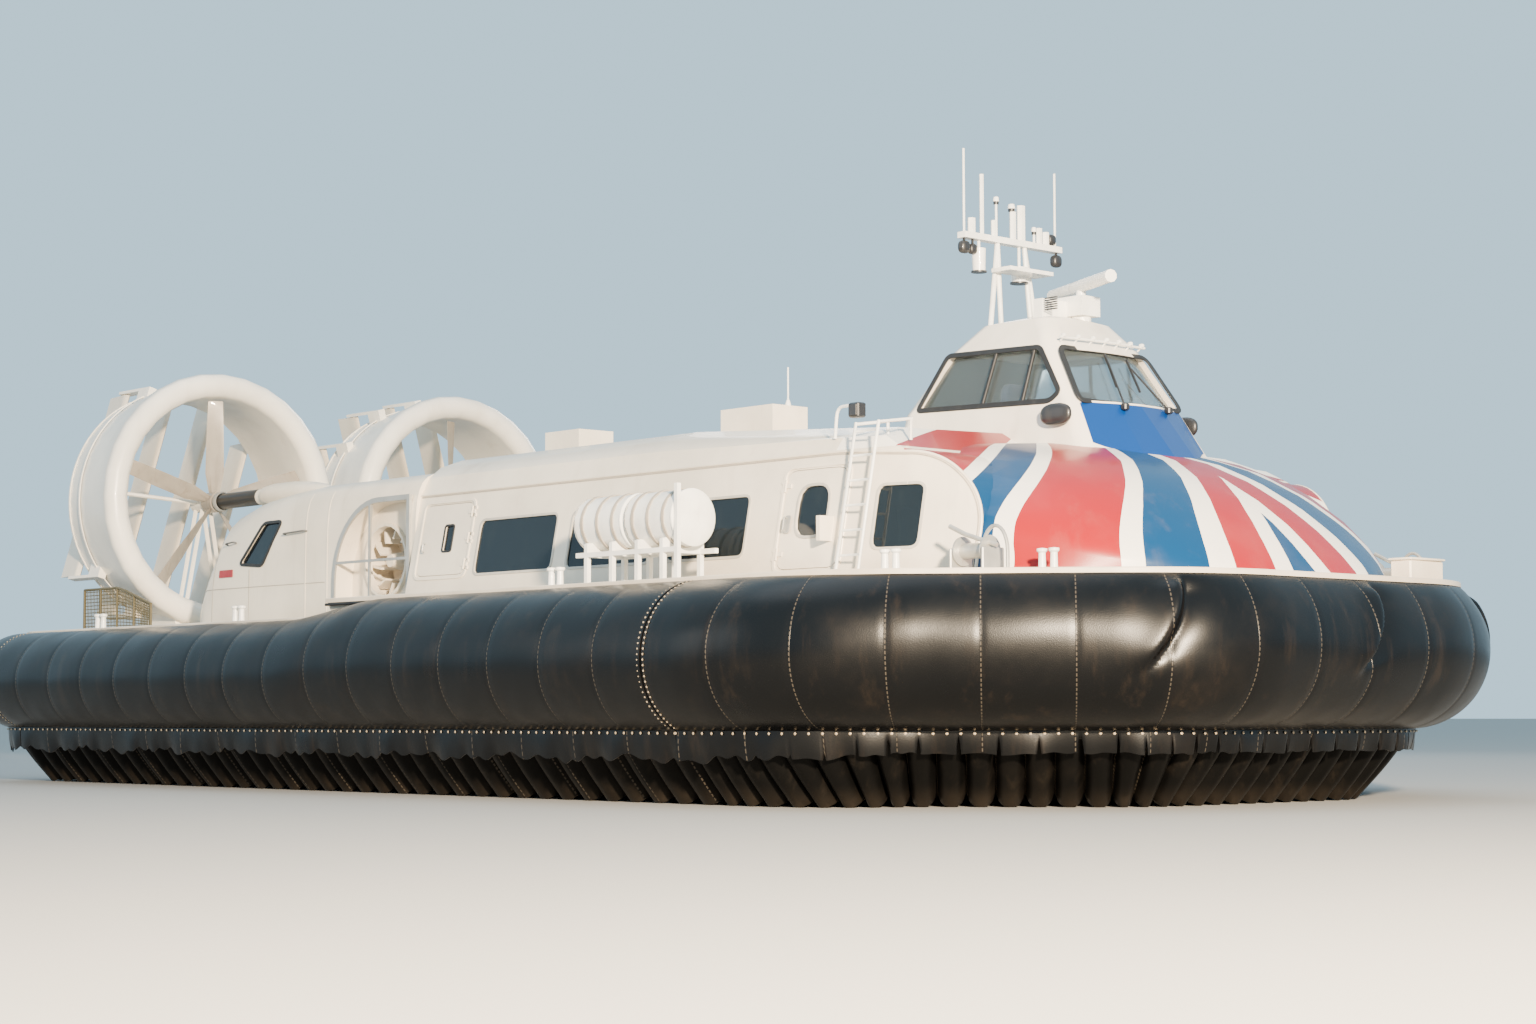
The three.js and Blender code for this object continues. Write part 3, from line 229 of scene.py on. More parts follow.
def startMaterial(name, scale, rough, spread, metal=0.0, coat=0.0):
    # gives the material with its tree, shader, place in space and weather; roughness varies round rough by spread
    made = bpy.data.materials.new(name)
    made.use_nodes = True
    tree = made.node_tree
    shader = tree.nodes["Principled BSDF"]
    for label, value in (("Metallic", metal), ("Coat Weight", coat), ("Roughness", rough)):
        feed(tree, value, shader.inputs[label])
    vector = tree.nodes.new("ShaderNodeTexCoord").outputs["Object"]
    node = tree.nodes.new("ShaderNodeGroup")
    node.node_tree = weather
    feed(tree, scale, node.inputs["Scale"])
    feed(tree, vector, node.inputs["Vector"])
    marks = node.outputs
    if spread:
        feed(tree, plus(tree, times(tree, marks["Cloud"], spread), rough - spread / 2), shader.inputs["Roughness"])
    return made, tree, shader.inputs, vector, marks


def addBump(tree, inputs, height, distance):
    bump = tree.nodes.new("ShaderNodeBump")
    feed(tree, distance, bump.inputs["Distance"])
    feed(tree, height, bump.inputs["Height"])
    feed(tree, bump.outputs[0], inputs["Normal"])


paint = {"spread": 0.14, "cloudRange": (0.35, 0.7), "shade": 0.86, "foot": 0.75}


def paintMaterial(name, color, dirt, rough, amount=0.5, scale=0.9, metal=0.0, coat=0.15, grain=0.0006, lowZ=None,
                  over=None):
    # Weathered paint: the colour varies with the cloud, dirt lies in the streaks and towards lowZ,
    # and over may lay another colour on top
    made, tree, inputs, vector, marks = startMaterial(name, scale, rough, paint["spread"], metal, coat)
    shade = between(tree, marks["Cloud"], *paint["cloudRange"])
    tone = blendColor(tree, shade, color, tuple(paint["shade"] * c for c in color))
    mask = times(tree, marks["Streak"], amount)
    if lowZ:
        foot = between(tree, axesOf(tree, vector)[2], *lowZ, paint["foot"], 0.0)
        mask = calc(tree, "MAXIMUM", mask, times(tree, foot, marks["Cloud"]))
    tone = blendColor(tree, mask, tone, dirt)
    if over:
        tone = over(tree, vector, tone)
    feed(tree, tone, inputs["Base Color"])
    addBump(tree, inputs, marks["Grain"], grain)
    return made


materials = {
    "hull": paintMaterial("deckPaint", (0.66, 0.63, 0.55), (0.34, 0.29, 0.22), 0.6, amount=0.6, grain=0.002),
    "cabin": paintMaterial("cabinPaint", (0.80, 0.72, 0.60), (0.44, 0.36, 0.27), 0.33, amount=0.30, lowZ=(2.7, 3.2)),
    "pod": paintMaterial("podPaint", (0.81, 0.72, 0.59), (0.45, 0.36, 0.26), 0.36, amount=0.34, lowZ=(2.4, 2.9)),
    "duct": paintMaterial("ductPaint", (0.91, 0.85, 0.75), (0.50, 0.41, 0.30), 0.32, amount=0.25),
    "mast": paintMaterial("whiteEnamel", (0.91, 0.90, 0.86), (0.45, 0.40, 0.32), 0.3, amount=0.3, scale=2.5),
    "steel": paintMaterial("dullAlloy", (0.50, 0.49, 0.46), (0.25, 0.22, 0.18), 0.42, scale=3, metal=0.6),
    "machine": paintMaterial("enginePaint", (0.16, 0.19, 0.17), (0.05, 0.045, 0.04), 0.5, amount=0.7, scale=3),
    "blade": paintMaterial("bladeCoat", (0.34, 0.30, 0.25), (0.16, 0.12, 0.09), 0.38, amount=0.6, scale=3),
    "rim": paintMaterial("windowRim", (0.47, 0.44, 0.39), (0.20, 0.18, 0.15), 0.45, amount=0.4, scale=4),
    "seam": paintMaterial("jointFiller", (0.40, 0.35, 0.29), (0.22, 0.18, 0.14), 0.6, scale=4, coat=0),
    "black": paintMaterial("blackPaint", (0.018, 0.018, 0.02), (0.10, 0.09, 0.075), 0.38, amount=0.3, scale=3),
    "gasket": paintMaterial("gasketRubber", (0.012, 0.012, 0.013), (0.06, 0.055, 0.05), 0.55, amount=0.4, scale=4,
                            coat=0),
    "washer": paintMaterial("washerMetal", (0.42, 0.34, 0.24), (0.18, 0.11, 0.06), 0.5, amount=0.6, scale=6,
                            metal=0.3),
    "netting": paintMaterial("nettingWire", (0.10, 0.08, 0.035), (0.05, 0.04, 0.02), 0.6, scale=4),
    "strap": paintMaterial("strapWebbing", (0.10, 0.10, 0.10), (0.30, 0.27, 0.22), 0.7, amount=0.4, scale=5, coat=0),
    "redPlate": paintMaterial("redEnamel", (0.34, 0.004, 0.004), (0.30, 0.10, 0.07), 0.35, amount=0.3, scale=5),
    "carpet": paintMaterial("carpetPile", (0.05, 0.065, 0.10), (0.09, 0.085, 0.08), 0.95, amount=0.3, scale=3,
                            coat=0, grain=0.004),
}

glass = {"scale": 2.0, "salt": (0.5, 0.5, 0.48), "rough": 0.055, "spread": 0.05, "ior": 1.45}


def glassMaterial(name, color, clear, salted, gloss):
    made, tree, inputs, _, marks = startMaterial(name, glass["scale"], glass["rough"], glass["spread"])
    salt = times(tree, marks["Streak"], salted)
    feed(tree, blendColor(tree, salt, color, glass["salt"]), inputs["Base Color"])
    for label, value in (("Transmission Weight", clear), ("Specular IOR Level", gloss), ("IOR", glass["ior"])):
        feed(tree, value, inputs[label])
    return made


materials["tinted"] = glassMaterial("tintedPane", (0.030, 0.045, 0.060), 0.75, salted=0.04, gloss=0.3)
materials["clear"] = glassMaterial("clearPane", (0.55, 0.64, 0.67), 0.94, salted=0.12, gloss=0.5)

# The nose carries a plain sweep of red and teal ribbons on white. Places in materials are in the frame's lengths.
ribbons = {
    "white": (0.87, 0.83, 0.76), "red": (0.30, 0.0025, 0.004), "teal": (0.0, 0.036, 0.115),
    "centreX": 6.2 + midships, "footZ": 2.7, "rise": 0.105, "wave": 0.035, "waveUp": 3.64, "waveOut": 1.82,
    # where each colour starts, in quarter turns from the bow round to the side
    "bands": [(0.0, "teal"), (0.055, "white"), (0.10, "red"), (0.185, "white"), (0.235, "teal"), (0.345, "white"),
              (0.385, "red"), (0.56, "white"), (0.60, "teal"), (0.69, "white"), (0.73, "red"), (0.93, "white")],
    "scale": 1.1, "rough": 0.32, "spread": 0.2, "coat": 0.08, "grain": 0.0006,
    "faded": (0.62, 0.50, 0.42), "fadedRange": (0.5, 0.75), "fadedShare": 0.03,
    "dirt": (0.36, 0.27, 0.22), "dirtShare": 0.08,
}


def ribbonColor(tree, vector):
    # field = angle round the nose from its centre, plus a share of the height, plus a slow wave along the radius
    r = ribbons
    x, y, z = axesOf(tree, vector)
    ahead = calc(tree, "SUBTRACT", x, r["centreX"])
    aside = calc(tree, "ABSOLUTE", y)
    height = calc(tree, "SUBTRACT", z, r["footZ"])
    turn = calc(tree, "DIVIDE", calc(tree, "ARCTAN2", aside, ahead), math.pi / 2)
    reach = distance(tree, ahead, aside)
    phase = plus(tree, times(tree, height, r["waveUp"]), times(tree, reach, r["waveOut"]))
    wave = times(tree, calc(tree, "SINE", phase), r["wave"])
    ramp = tree.nodes.new("ShaderNodeValToRGB")
    ramp.color_ramp.interpolation = "CONSTANT"
    stops = ramp.color_ramp.elements
    stops[0].color = (*r[r["bands"][0][1]], 1)
    stops.remove(stops[1])
    for start, key in r["bands"][1:]:
        stops.new(start).color = (*r[key], 1)
    feed(tree, plus(tree, turn, wave, times(tree, height, r["rise"])), ramp.inputs[0])
    return ramp.outputs["Color"]


def noseMaterial(r):
    made, tree, inputs, vector, marks = startMaterial("ribbonPaint", r["scale"], r["rough"], r["spread"],
                                                      coat=r["coat"])
    faded = times(tree, between(tree, marks["Cloud"], *r["fadedRange"]), r["fadedShare"])
    tone = blendColor(tree, faded, ribbonColor(tree, vector), r["faded"])
    tone = blendColor(tree, times(tree, marks["Streak"], r["dirtShare"]), tone, r["dirt"])
    feed(tree, tone, inputs["Base Color"])
    addBump(tree, inputs, marks["Grain"], r["grain"])
    return made


foreLivery = {"roofX": 7.10, "roofZ": 4.265, "arcX": 7.92 + midships, "arcZ": 3.25, "arcRadius": 0.944,
              "cheekBack": 0.055, "cheekSoft": 0.005, "footSoft": 0.001, "soft": 0.003}
bluePanel = {"color": (0.0, 0.034, 0.18), "fromX": 8.45, "lowZ": 4.23, "sag": 0.165, "topZ": 4.965, "half": 1.12,
             "taper": 0.2, "soft": 0.003}
fairing = {"x": -8.31, "soft": 0.003, "bare": (0.016, 0.015, 0.015)}


def foreRibbons(tree, vector, tone):
    # the ribbons run on from the nose over the roof's front and the rounded cheeks
    c = foreLivery
    x, _, z = axesOf(tree, vector)
    ahead, above = calc(tree, "SUBTRACT", x, c["arcX"]), calc(tree, "SUBTRACT", z, c["arcZ"])
    roof = times(tree, past(tree, x, c["roofX"], c["soft"]), past(tree, z, c["roofZ"], c["soft"]))
    cheek = times(tree, past(tree, distance(tree, ahead, above), c["arcRadius"], c["soft"]),
                  past(tree, x, c["arcX"] - c["cheekBack"], c["cheekSoft"]))
    foot = times(tree, between(tree, above, 0.0, c["footSoft"], 1.0, 0.0),
                 between(tree, ahead, c["arcRadius"], c["arcRadius"] + c["soft"]))
    mask = calc(tree, "MAXIMUM", calc(tree, "MAXIMUM", roof, cheek), foot)
    return blendColor(tree, mask, tone, ribbonColor(tree, vector))


def underWindscreen(tree, vector, tone):
    # a bare blue panel: x > fromX, lowZ + sag y^2 < z < topZ and |y| + taper (z - lowZ) < half
    c = bluePanel
    x, y, z = axesOf(tree, vector)
    foot = plus(tree, times(tree, y, y, c["sag"]), c["lowZ"])
    rise = calc(tree, "SUBTRACT", z, foot)
    above = calc(tree, "SUBTRACT", z, c["lowZ"])
    aside = plus(tree, calc(tree, "ABSOLUTE", y), times(tree, above, c["taper"]))
    mask = times(tree, past(tree, rise, 0.0, c["soft"]), short(tree, z, c["topZ"], c["soft"]),
                 short(tree, aside, c["half"], c["soft"]), past(tree, x, c["fromX"], c["soft"]))
    return blendColor(tree, mask, tone, c["color"])


def bareTube(tree, vector, tone):
    # black where the shaft's tube is bare, pod paint from the fairing on
    mask = short(tree, axesOf(tree, vector)[0], fairing["x"], fairing["soft"])
    return blendColor(tree, mask, tone, fairing["bare"])


materials["nose"] = noseMaterial(ribbons)
materials["cabinFore"] = paintMaterial("cabinForePaint", (0.80, 0.72, 0.60), (0.44, 0.36, 0.27), 0.33, amount=0.30,
                                       lowZ=(2.7, 3.2), over=foreRibbons)
materials["wheelhouse"] = paintMaterial("wheelhousePaint", (0.87, 0.80, 0.70), (0.44, 0.36, 0.27), 0.32, amount=0.28,
                                        over=underWindscreen)
materials["casing"] = paintMaterial("casingPaint", (0.81, 0.72, 0.59), (0.45, 0.36, 0.26), 0.36, amount=0.34,
                                    over=bareTube)

# Glued and stitched panels; the skirt's own UV is u metres round the craft and v metres down the section
rubber = {"scale": 1.3, "spread": 0.26, "seam": (0.004, 0.011), "stitch": 0.03, "stitchRange": (0.008, 0.014),
          "thread": (0.26, 0.215, 0.165), "threadShare": 0.20, "foldRange": (0.5, 0.74), "foldShare": 0.3,
          "dustShare": 0.26, "foot": 0.55, "grainShare": 0.25, "relief": 0.004}


def rubberMaterial(name, base, dust, rough, panel, gloss, low=None):
    r = rubber
    made, tree, inputs, vector, marks = startMaterial(name, r["scale"], rough, r["spread"])
    feed(tree, gloss, inputs["Specular IOR Level"])
    uv = tree.nodes.new("ShaderNodeUVMap")
    uv.uv_map = "skirt"
    u, v, _ = axesOf(tree, uv.outputs[0])
    seam = between(tree, calc(tree, "PINGPONG", u, panel / 2), *r["seam"], 1.0, 0.0)
    stitch = between(tree, calc(tree, "PINGPONG", v, r["stitch"]), *r["stitchRange"])
    fold = times(tree, between(tree, marks["Cloud"], *r["foldRange"]), r["foldShare"])
    tone = blendColor(tree, times(tree, plus(tree, fold, marks["Streak"]), r["dustShare"]), base, dust)
    if low:
        foot = between(tree, axesOf(tree, vector)[2], *low, r["foot"], 0.0)
        tone = blendColor(tree, times(tree, foot, marks["Cloud"]), tone, dust)
    tone = blendColor(tree, times(tree, seam, stitch, r["threadShare"]), tone, r["thread"])
    feed(tree, tone, inputs["Base Color"])
    addBump(tree, inputs, plus(tree, seam, times(tree, marks["Grain"], r["grainShare"])), r["relief"])
    return made


materials["bag"] = rubberMaterial("bagFabric", (0.0014, 0.0015, 0.0018), (0.036, 0.024, 0.015), 0.32, 1.05, 0.28)
materials["finger"] = rubberMaterial("fingerFabric", (0.0018, 0.0018, 0.0018), (0.035, 0.027, 0.02), 0.46, 0.34, 0.12,
                                     low=(0.0, 0.3))

weave = {"color": (0.035, 0.055, 0.13), "thread": (0.12, 0.15, 0.24), "threadShare": 0.6, "worn": 0.5,
         "wornShare": 0.25, "scale": 2.0, "waves": 60, "rough": 0.85, "sheen": 0.3, "relief": 0.0015}


def weaveMaterial(c):
    made, tree, inputs, vector, marks = startMaterial("seatWeave", c["scale"], c["rough"], 0)
    waves = []
    for direction in ("X", "Z"):
        wave = tree.nodes.new("ShaderNodeTexWave")
        wave.bands_direction = direction
        feed(tree, c["waves"], wave.inputs["Scale"])
        feed(tree, vector, wave.inputs["Vector"])
        waves.append(wave.outputs["Fac"])
    cloth = times(tree, *waves)
    tone = blendColor(tree, times(tree, cloth, c["threadShare"]), c["color"], c["thread"])
    worn = tuple(c["worn"] * part for part in c["color"])
    feed(tree, blendColor(tree, times(tree, marks["Cloud"], c["wornShare"]), tone, worn), inputs["Base Color"])
    feed(tree, c["sheen"], inputs["Sheen Weight"])
    addBump(tree, inputs, cloth, c["relief"])
    return made


materials["seatCloth"] = weaveMaterial(weave)
print("materials made", len(materials))


# Shells: a shell is its points as (n, 3) and its faces as lists of their numbers

def gridFaces(rows, cols, wrapRows=False, wrapCols=False):
    i, j = np.meshgrid(np.arange(rows if wrapRows else rows - 1), np.arange(cols if wrapCols else cols - 1),
                       indexing="ij")
    nextI, nextJ = (i + 1) % rows, (j + 1) % cols
    corners = [i * cols + j, i * cols + nextJ, nextI * cols + nextJ, nextI * cols + j]
    return np.stack(corners, -1).reshape(-1, 4).tolist()


def surface(points, wrapRows=False, wrapCols=False, caps=False):
    # a grid of points (rows, cols, 3); caps close the two ends of a tube
    rows, cols = points.shape[:2]
    faces = gridFaces(rows, cols, wrapRows, wrapCols)
    if caps:
        faces.append(list(range(cols))[::-1])
        faces.append([(rows - 1) * cols + k for k in range(cols)])
    return points.reshape(-1, 3), faces


def carried(path, profile, up=(0, 0, 1), closed=False):
    # a profile of (across, up) points carried along a path; up is one direction, or one for each point
    path, profile = np.asarray(path, float), np.asarray(profile, float)
    along = np.roll(path, -1, 0) - np.roll(path, 1, 0) if closed else np.gradient(path, axis=0)
    lift = np.broadcast_to(np.asarray(up, float), path.shape)
    across = unit(np.cross(unit(along), lift))
    lift = np.cross(across, unit(along))
    points = path[:, None] + profile[None, :, :1] * across[:, None] + profile[None, :, 1:] * lift[:, None]
    return surface(points, wrapRows=closed, wrapCols=True, caps=not closed)


def ring(radius, steps=10):
    angle = np.linspace(0, 2 * np.pi, steps, endpoint=False)
    return radius * np.stack([np.cos(angle), np.sin(angle)], -1)


def plank(width, height):
    # profile that lies on a surface, with its two upper corners cut by a quarter of its smaller side
    w, h, c = width / 2, height, 0.25 * min(width, height)
    return np.array([(-w, 0), (w, 0), (w, h - c), (w - c, h), (c - w, h), (-w, h - c)])


def cornerArc(before, corner, after, radius, steps):
    # quadratic arc that starts and ends radius away from the corner
    t = np.linspace(0, 1, steps)[:, None]
    start = corner + (before - corner) * min(0.5, radius / np.linalg.norm(before - corner))
    end = corner + (after - corner) * min(0.5, radius / np.linalg.norm(after - corner))
    return (1 - t) ** 2 * start + 2 * t * (1 - t) * corner + t ** 2 * end


def bent(points, radius):
    # an open path with rounded corners
    points = np.asarray(points, float)
    arcs = [cornerArc(*three, radius, 5) for three in zip(points, points[1:], points[2:])]
    return np.vstack([points[:1], *arcs, points[-1:]])


def roundLoop(corners, radius):
    # a closed outline in a plane with rounded corners
    corners = np.asarray(corners, float)
    threes = zip(np.roll(corners, 1, 0), corners, np.roll(corners, -1, 0))
    return np.vstack([cornerArc(*three, radius, 6) for three in threes])


def tube(points, radius, steps=10, up=(0.02, 0.03, 1), smooth=0):
    return carried(bent(points, smooth) if smooth else points, ring(radius, steps), up)


def lathe(profile, centre, axis=0, steps=64, closed=False):
    # (along, radius) points turned about the axis through centre
    profile = np.asarray(profile, float)
    angle = np.linspace(0, 2 * np.pi, steps, endpoint=False)
    points = np.zeros((steps, len(profile), 3))
    one, two = [k for k in range(3) if k != axis]
    points[..., axis] = profile[:, 0] + centre[axis]
    points[..., one] = centre[one] + profile[:, 1] * np.cos(angle)[:, None]
    points[..., two] = centre[two] + profile[:, 1] * np.sin(angle)[:, None]
    return surface(points, wrapRows=True, wrapCols=closed)


def softBox(low, high, edge=0.02):
    # a block with chamfered edges: rectangles with cut corners stacked along z
    (x0, y0, z0), (x1, y1, z1) = low, high
    rows = []
    for z, pull in ((z0, edge), (z0 + edge, 0), (z1 - edge, 0), (z1, edge)):
        a, b, c, d = x0 + pull, x1 - pull, y0 + pull, y1 - pull
        rows.append([(a + edge, c, z), (b - edge, c, z), (b, c + edge, z), (b, d - edge, z),
                     (b - edge, d, z), (a + edge, d, z), (a, d - edge, z), (a, c + edge, z)])
    return surface(np.array(rows), wrapCols=True, caps=True)


def pads(centres, size, square, crown=0.0, rows=10, cols=20):
    # cushions: a superellipsoid, |x|^n + |y|^n + |z|^n = 1 with n = 2 / square, set at each centre
    a = np.linspace(-np.pi / 2, np.pi / 2, rows)[:, None]
    b = np.linspace(0, 2 * np.pi, cols, endpoint=False)[None]
    power = lambda value: np.sign(value) * np.abs(value) ** square
    one = np.stack([power(np.cos(a)) * power(np.cos(b)), power(np.cos(a)) * power(np.sin(b)),
                    power(np.sin(a)) * np.ones_like(b)], -1)
    one[..., 2] += crown * (1 - one[..., 0] ** 2) * (1 - one[..., 1] ** 2) * (one[..., 2] > 0)
    one = one * np.asarray(size) / 2
    inner = one[1:-1].reshape(-1, 3)
    points = np.vstack([inner, one[0].mean(0), one[-1].mean(0)])
    faces = gridFaces(rows - 2, cols, wrapCols=True)
    last = (rows - 3) * cols
    south, north = len(inner), len(inner) + 1
    faces += [[south, (k + 1) % cols, k] for k in range(cols)]
    faces += [[north, last + k, last + (k + 1) % cols] for k in range(cols)]
    return [(points + np.asarray(c), faces) for c in centres]


def facesOut(mesh):
    work = bmesh.new()
    work.from_mesh(mesh)
    bmesh.ops.recalc_face_normals(work, faces=work.faces)
    work.to_mesh(mesh)
    work.free()


def makePiece(name, shells, material, body="craft", slot="mast", sharp=35, replaces=(), uv=None, closed=False):
    faces, base = [], 0
    for p, f in shells:
        faces += [[k + base for k in face] for face in f]
        base += len(p)
    points = np.vstack([p for p, _ in shells]) + (midships, 0, 0)
    mesh = bpy.data.meshes.new(name)
    mesh.from_pydata(points.tolist(), [], faces)
    mesh.validate()
    if uv is not None:
        layer = mesh.uv_layers.new(name="skirt")
        corner = np.zeros(len(mesh.loops), np.int32)
        mesh.loops.foreach_get("vertex_index", corner)
        layer.data.foreach_set("uv", uv[corner].astype(np.float32).ravel())
    mesh.shade_smooth()
    mesh.set_sharp_from_angle(angle=math.radians(sharp))
    made = bpy.data.objects.new(name, mesh)
    bpy.context.scene.collection.objects.link(made)
    mesh.materials.append(materials[material])
    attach(made, body)
    if replaces:
        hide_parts(*replaces)
    if closed:
        facesOut(mesh)
    return made


def bothSides(name, shells, material, body=None, **more):
    # body is the first part of a moving body's name, or None for the craft
    over = [(points * (1, -1, 1), [face[::-1] for face in faces]) for points, faces in shells]
    for side, turned in zip(sides, (shells, over)):
        makePiece(f"{name}_{side}", turned, material, f"{body}_{side}" if body else "craft", **more)


# CAD nodes that stay: smooth round faces, and their paint

smoothing = {"weld": 0.0002, "weight": 80}


def smoothGroup():
    group = bpy.data.node_groups.new("smoothByAngle", "GeometryNodeTree")
    for label, way, kind in (("Geometry", "INPUT", "Geometry"), ("Angle", "INPUT", "Float"),
                             ("Geometry", "OUTPUT", "Geometry")):
        group.interface.new_socket(label, in_out=way, socket_type="NodeSocket" + kind)
    add, link = group.nodes.new, group.links.new
    start, end = add("NodeGroupInput"), add("NodeGroupOutput")
    weld = add("GeometryNodeMergeByDistance")
    weld.inputs["Distance"].default_value = smoothing["weld"]
    bend = add("GeometryNodeInputMeshEdgeAngle")
    test = add("FunctionNodeCompare")
    test.data_type, test.operation = "FLOAT", "LESS_THAN"
    edges = add("GeometryNodeSetShadeSmooth")
    edges.domain = "EDGE"
    faces = add("GeometryNodeSetShadeSmooth")
    link(start.outputs["Geometry"], weld.inputs["Geometry"])
    link(weld.outputs["Geometry"], edges.inputs["Geometry"])
    link(bend.outputs["Unsigned Angle"], test.inputs["A"])
    link(start.outputs["Angle"], test.inputs["B"])
    link(test.outputs["Result"], edges.inputs["Shade Smooth"])
    link(edges.outputs["Geometry"], faces.inputs["Geometry"])
    link(faces.outputs["Geometry"], end.inputs["Geometry"])
    return group


smoother = smoothGroup()

# first part of the node's name, material, and the sharpest angle that is still shaded round
nodePaint = [
    ("hull", "hull", 12), ("landing_pad", "gasket", 20), ("cabin_side", "cabinFore", 14),
    ("cabin_roof", "cabinFore", 22), ("cabin_aft_wall", "cabin", 20), ("nose_shell", "nose", 38),
    ("wheelhouse_glass", "clear", 24), ("wheelhouse", "wheelhouse", 32), ("cabin_glass", "tinted", 20),
    ("cabin_door", "cabin", 20), ("service_hatch", "cabin", 20), ("machinery_pod", "pod", 32), ("lift_fan", "pod", 34),
    ("intake_guard", "steel", 20), ("engine", "machine", 20), ("duct", "duct", 40), ("propeller", "blade", 50),
    ("rudder", "pod", 50), ("shaft_casing", "casing", 36), ("mast", "mast", 50), ("radar_pedestal", "mast", 40),
    ("radar_scanner", "mast", 50), ("liferaft_rack", "mast", 40), ("ladder", "mast", 62),
]


def smoothNode(thing, angle):
    modifier = thing.modifiers.new("smooth", "NODES")
    modifier.node_group = smoother
    for item in smoother.interface.items_tree:
        if item.name == "Angle":
            modifier[item.identifier] = math.radians(angle)
    weighted = thing.modifiers.new("weighted", "WEIGHTED_NORMAL")
    weighted.keep_sharp = True
    weighted.weight = smoothing["weight"]


def paintNodes():
    for name, thing in nodes.items():
        for start, key, angle in nodePaint:
            if name.startswith(start):
                thing.data.materials.clear()
                thing.data.materials.append(materials[key])
                smoothNode(thing, angle)
                break


paintNodes()
print("CAD nodes painted")

# Skirt: the deck edge it hangs from, the inflated bag, and how it tucks in under the bow
deck = {"z": 2.7, "aftZ": 2.45, "stepX": -1.83, "bottomZ": 1.3, "chine": 0.6, "sternX": -11.45, "halfWidth": 5.5,
        "sideY": -5.0, "shoulderX": 8.37, "bowX": 11.51, "bowCornerY": 2.6, "sternRadius": 0.9, "bowRadius": 2.5}
bag = {"bulge": 0.85, "bulgeZ": 1.76, "seamOut": 0.30, "seamZ": 0.89, "topZ": 2.67, "aftTopZ": 2.40,
       "topRise": (-2.6, -0.3), "gap": 0.004, "bowX": 6.12, "sternX": -10.40, "walk": 0.8, "slack": 1.1, "fewest": 40,
       "step": 0.05, "bowStep": 0.026, "around": 48, "panel": 1.05, "pinch": 0.006, "pinchWidth": 0.045,
       "puff": 0.008, "fade": 0.6}
tuck = {"fromX": 6.6, "toX": 9.4, "bulge": 0.36, "seamOut": -0.56, "topOut": -0.59, "tipOut": -1.31, "tipIn": -1.43,
        "root": -1.90}


def ease(low, high, value):
    t = np.clip((value - low) / (high - low), 0, 1)
    return t * t * (3 - 2 * t)


def tuckShare(rows):
    return ease(tuck["fromX"], tuck["toX"], rows[:, 0])


def tucked(part, key, share):
    return part[key] + (tuck[key] - part[key]) * share


def planHalf(step=0.02):
    # starboard half of the deck edge from stern to bow: straight lines joined by arcs, as x, y and the way out
    d = deck
    corners = [((d["sternX"], 0.0), 0), ((d["sternX"], -d["halfWidth"]), d["sternRadius"]),
               ((d["shoulderX"], -d["halfWidth"]), d["bowRadius"]), ((d["bowX"], -d["bowCornerY"]), d["bowRadius"]),
               ((d["bowX"], 0.0), 0)]
    rows, last = [], np.array(corners[0][0])
    for (before, _), (corner, radius), (after, _) in zip(corners, corners[1:], corners[2:]):
        into, out = unit(np.subtract(corner, before)), unit(np.subtract(after, corner))
        turn = math.acos(float(into @ out))
        start = np.array(corner) - into * radius * math.tan(turn / 2)
        first = np.array([into[1], -into[0]])
        count = max(2, int(np.linalg.norm(start - last) / step))
        t = np.linspace(0, 1, count, endpoint=False)[:, None]
        rows.append(np.hstack([last + (start - last) * t, np.tile(first, (count, 1))]))
        angle = math.atan2(first[1], first[0]) + np.linspace(0, turn, max(3, int(turn * radius / step)))
        away = np.stack([np.cos(angle), np.sin(angle)], -1)
        rows.append(np.hstack([start - first * radius + away * radius, away]))
        last = start - first * radius + away[-1] * radius
    end = np.array(corners[-1][0])
    t = np.linspace(0, 1, max(2, int(np.linalg.norm(end - last) / step)))[:, None]
    rows.append(np.hstack([last + (end - last) * t, np.tile([1.0, 0.0], (len(t), 1))]))
    return np.vstack(rows)


def toPort(part):
    return (part * (1, -1, 1, -1))[::-1]


def roundBow(part):
    return np.vstack([part, toPort(part)[1:]])


def roundStern(part):
    return np.vstack([toPort(part), part[1:]])


def stretchOf(kind):
    # one stretch of the skirt, always going from starboard aft round the bow to port
    half = planHalf()
    x, y = half[:, 0], half[:, 1]
    if kind == "bow":
        return roundBow(half[x >= bag["bowX"]])
    if kind == "stern":
        return roundStern(half[x <= bag["sternX"]])
    part = half[(x >= bag["sternX"]) & (x <= bag["bowX"]) & (y < deck["sideY"])]
    return part if kind == "starboard" else toPort(part)


def walked(rows, out, count):
    # rows at equal steps along the path that runs out metres outside the deck edge, their places, and its length
    path = rows[:, :2] + rows[:, 2:] * out[:, None]
    reach = np.concatenate([[0], np.cumsum(np.linalg.norm(np.diff(path, axis=0), axis=1))])
    places = np.linspace(0, reach[-1], count)
    made = np.stack([np.interp(places, reach, rows[:, k]) for k in range(4)], -1)
    made[:, 2:] = unit(made[:, 2:])
    return made, places - reach[-1] / 2, reach[-1]


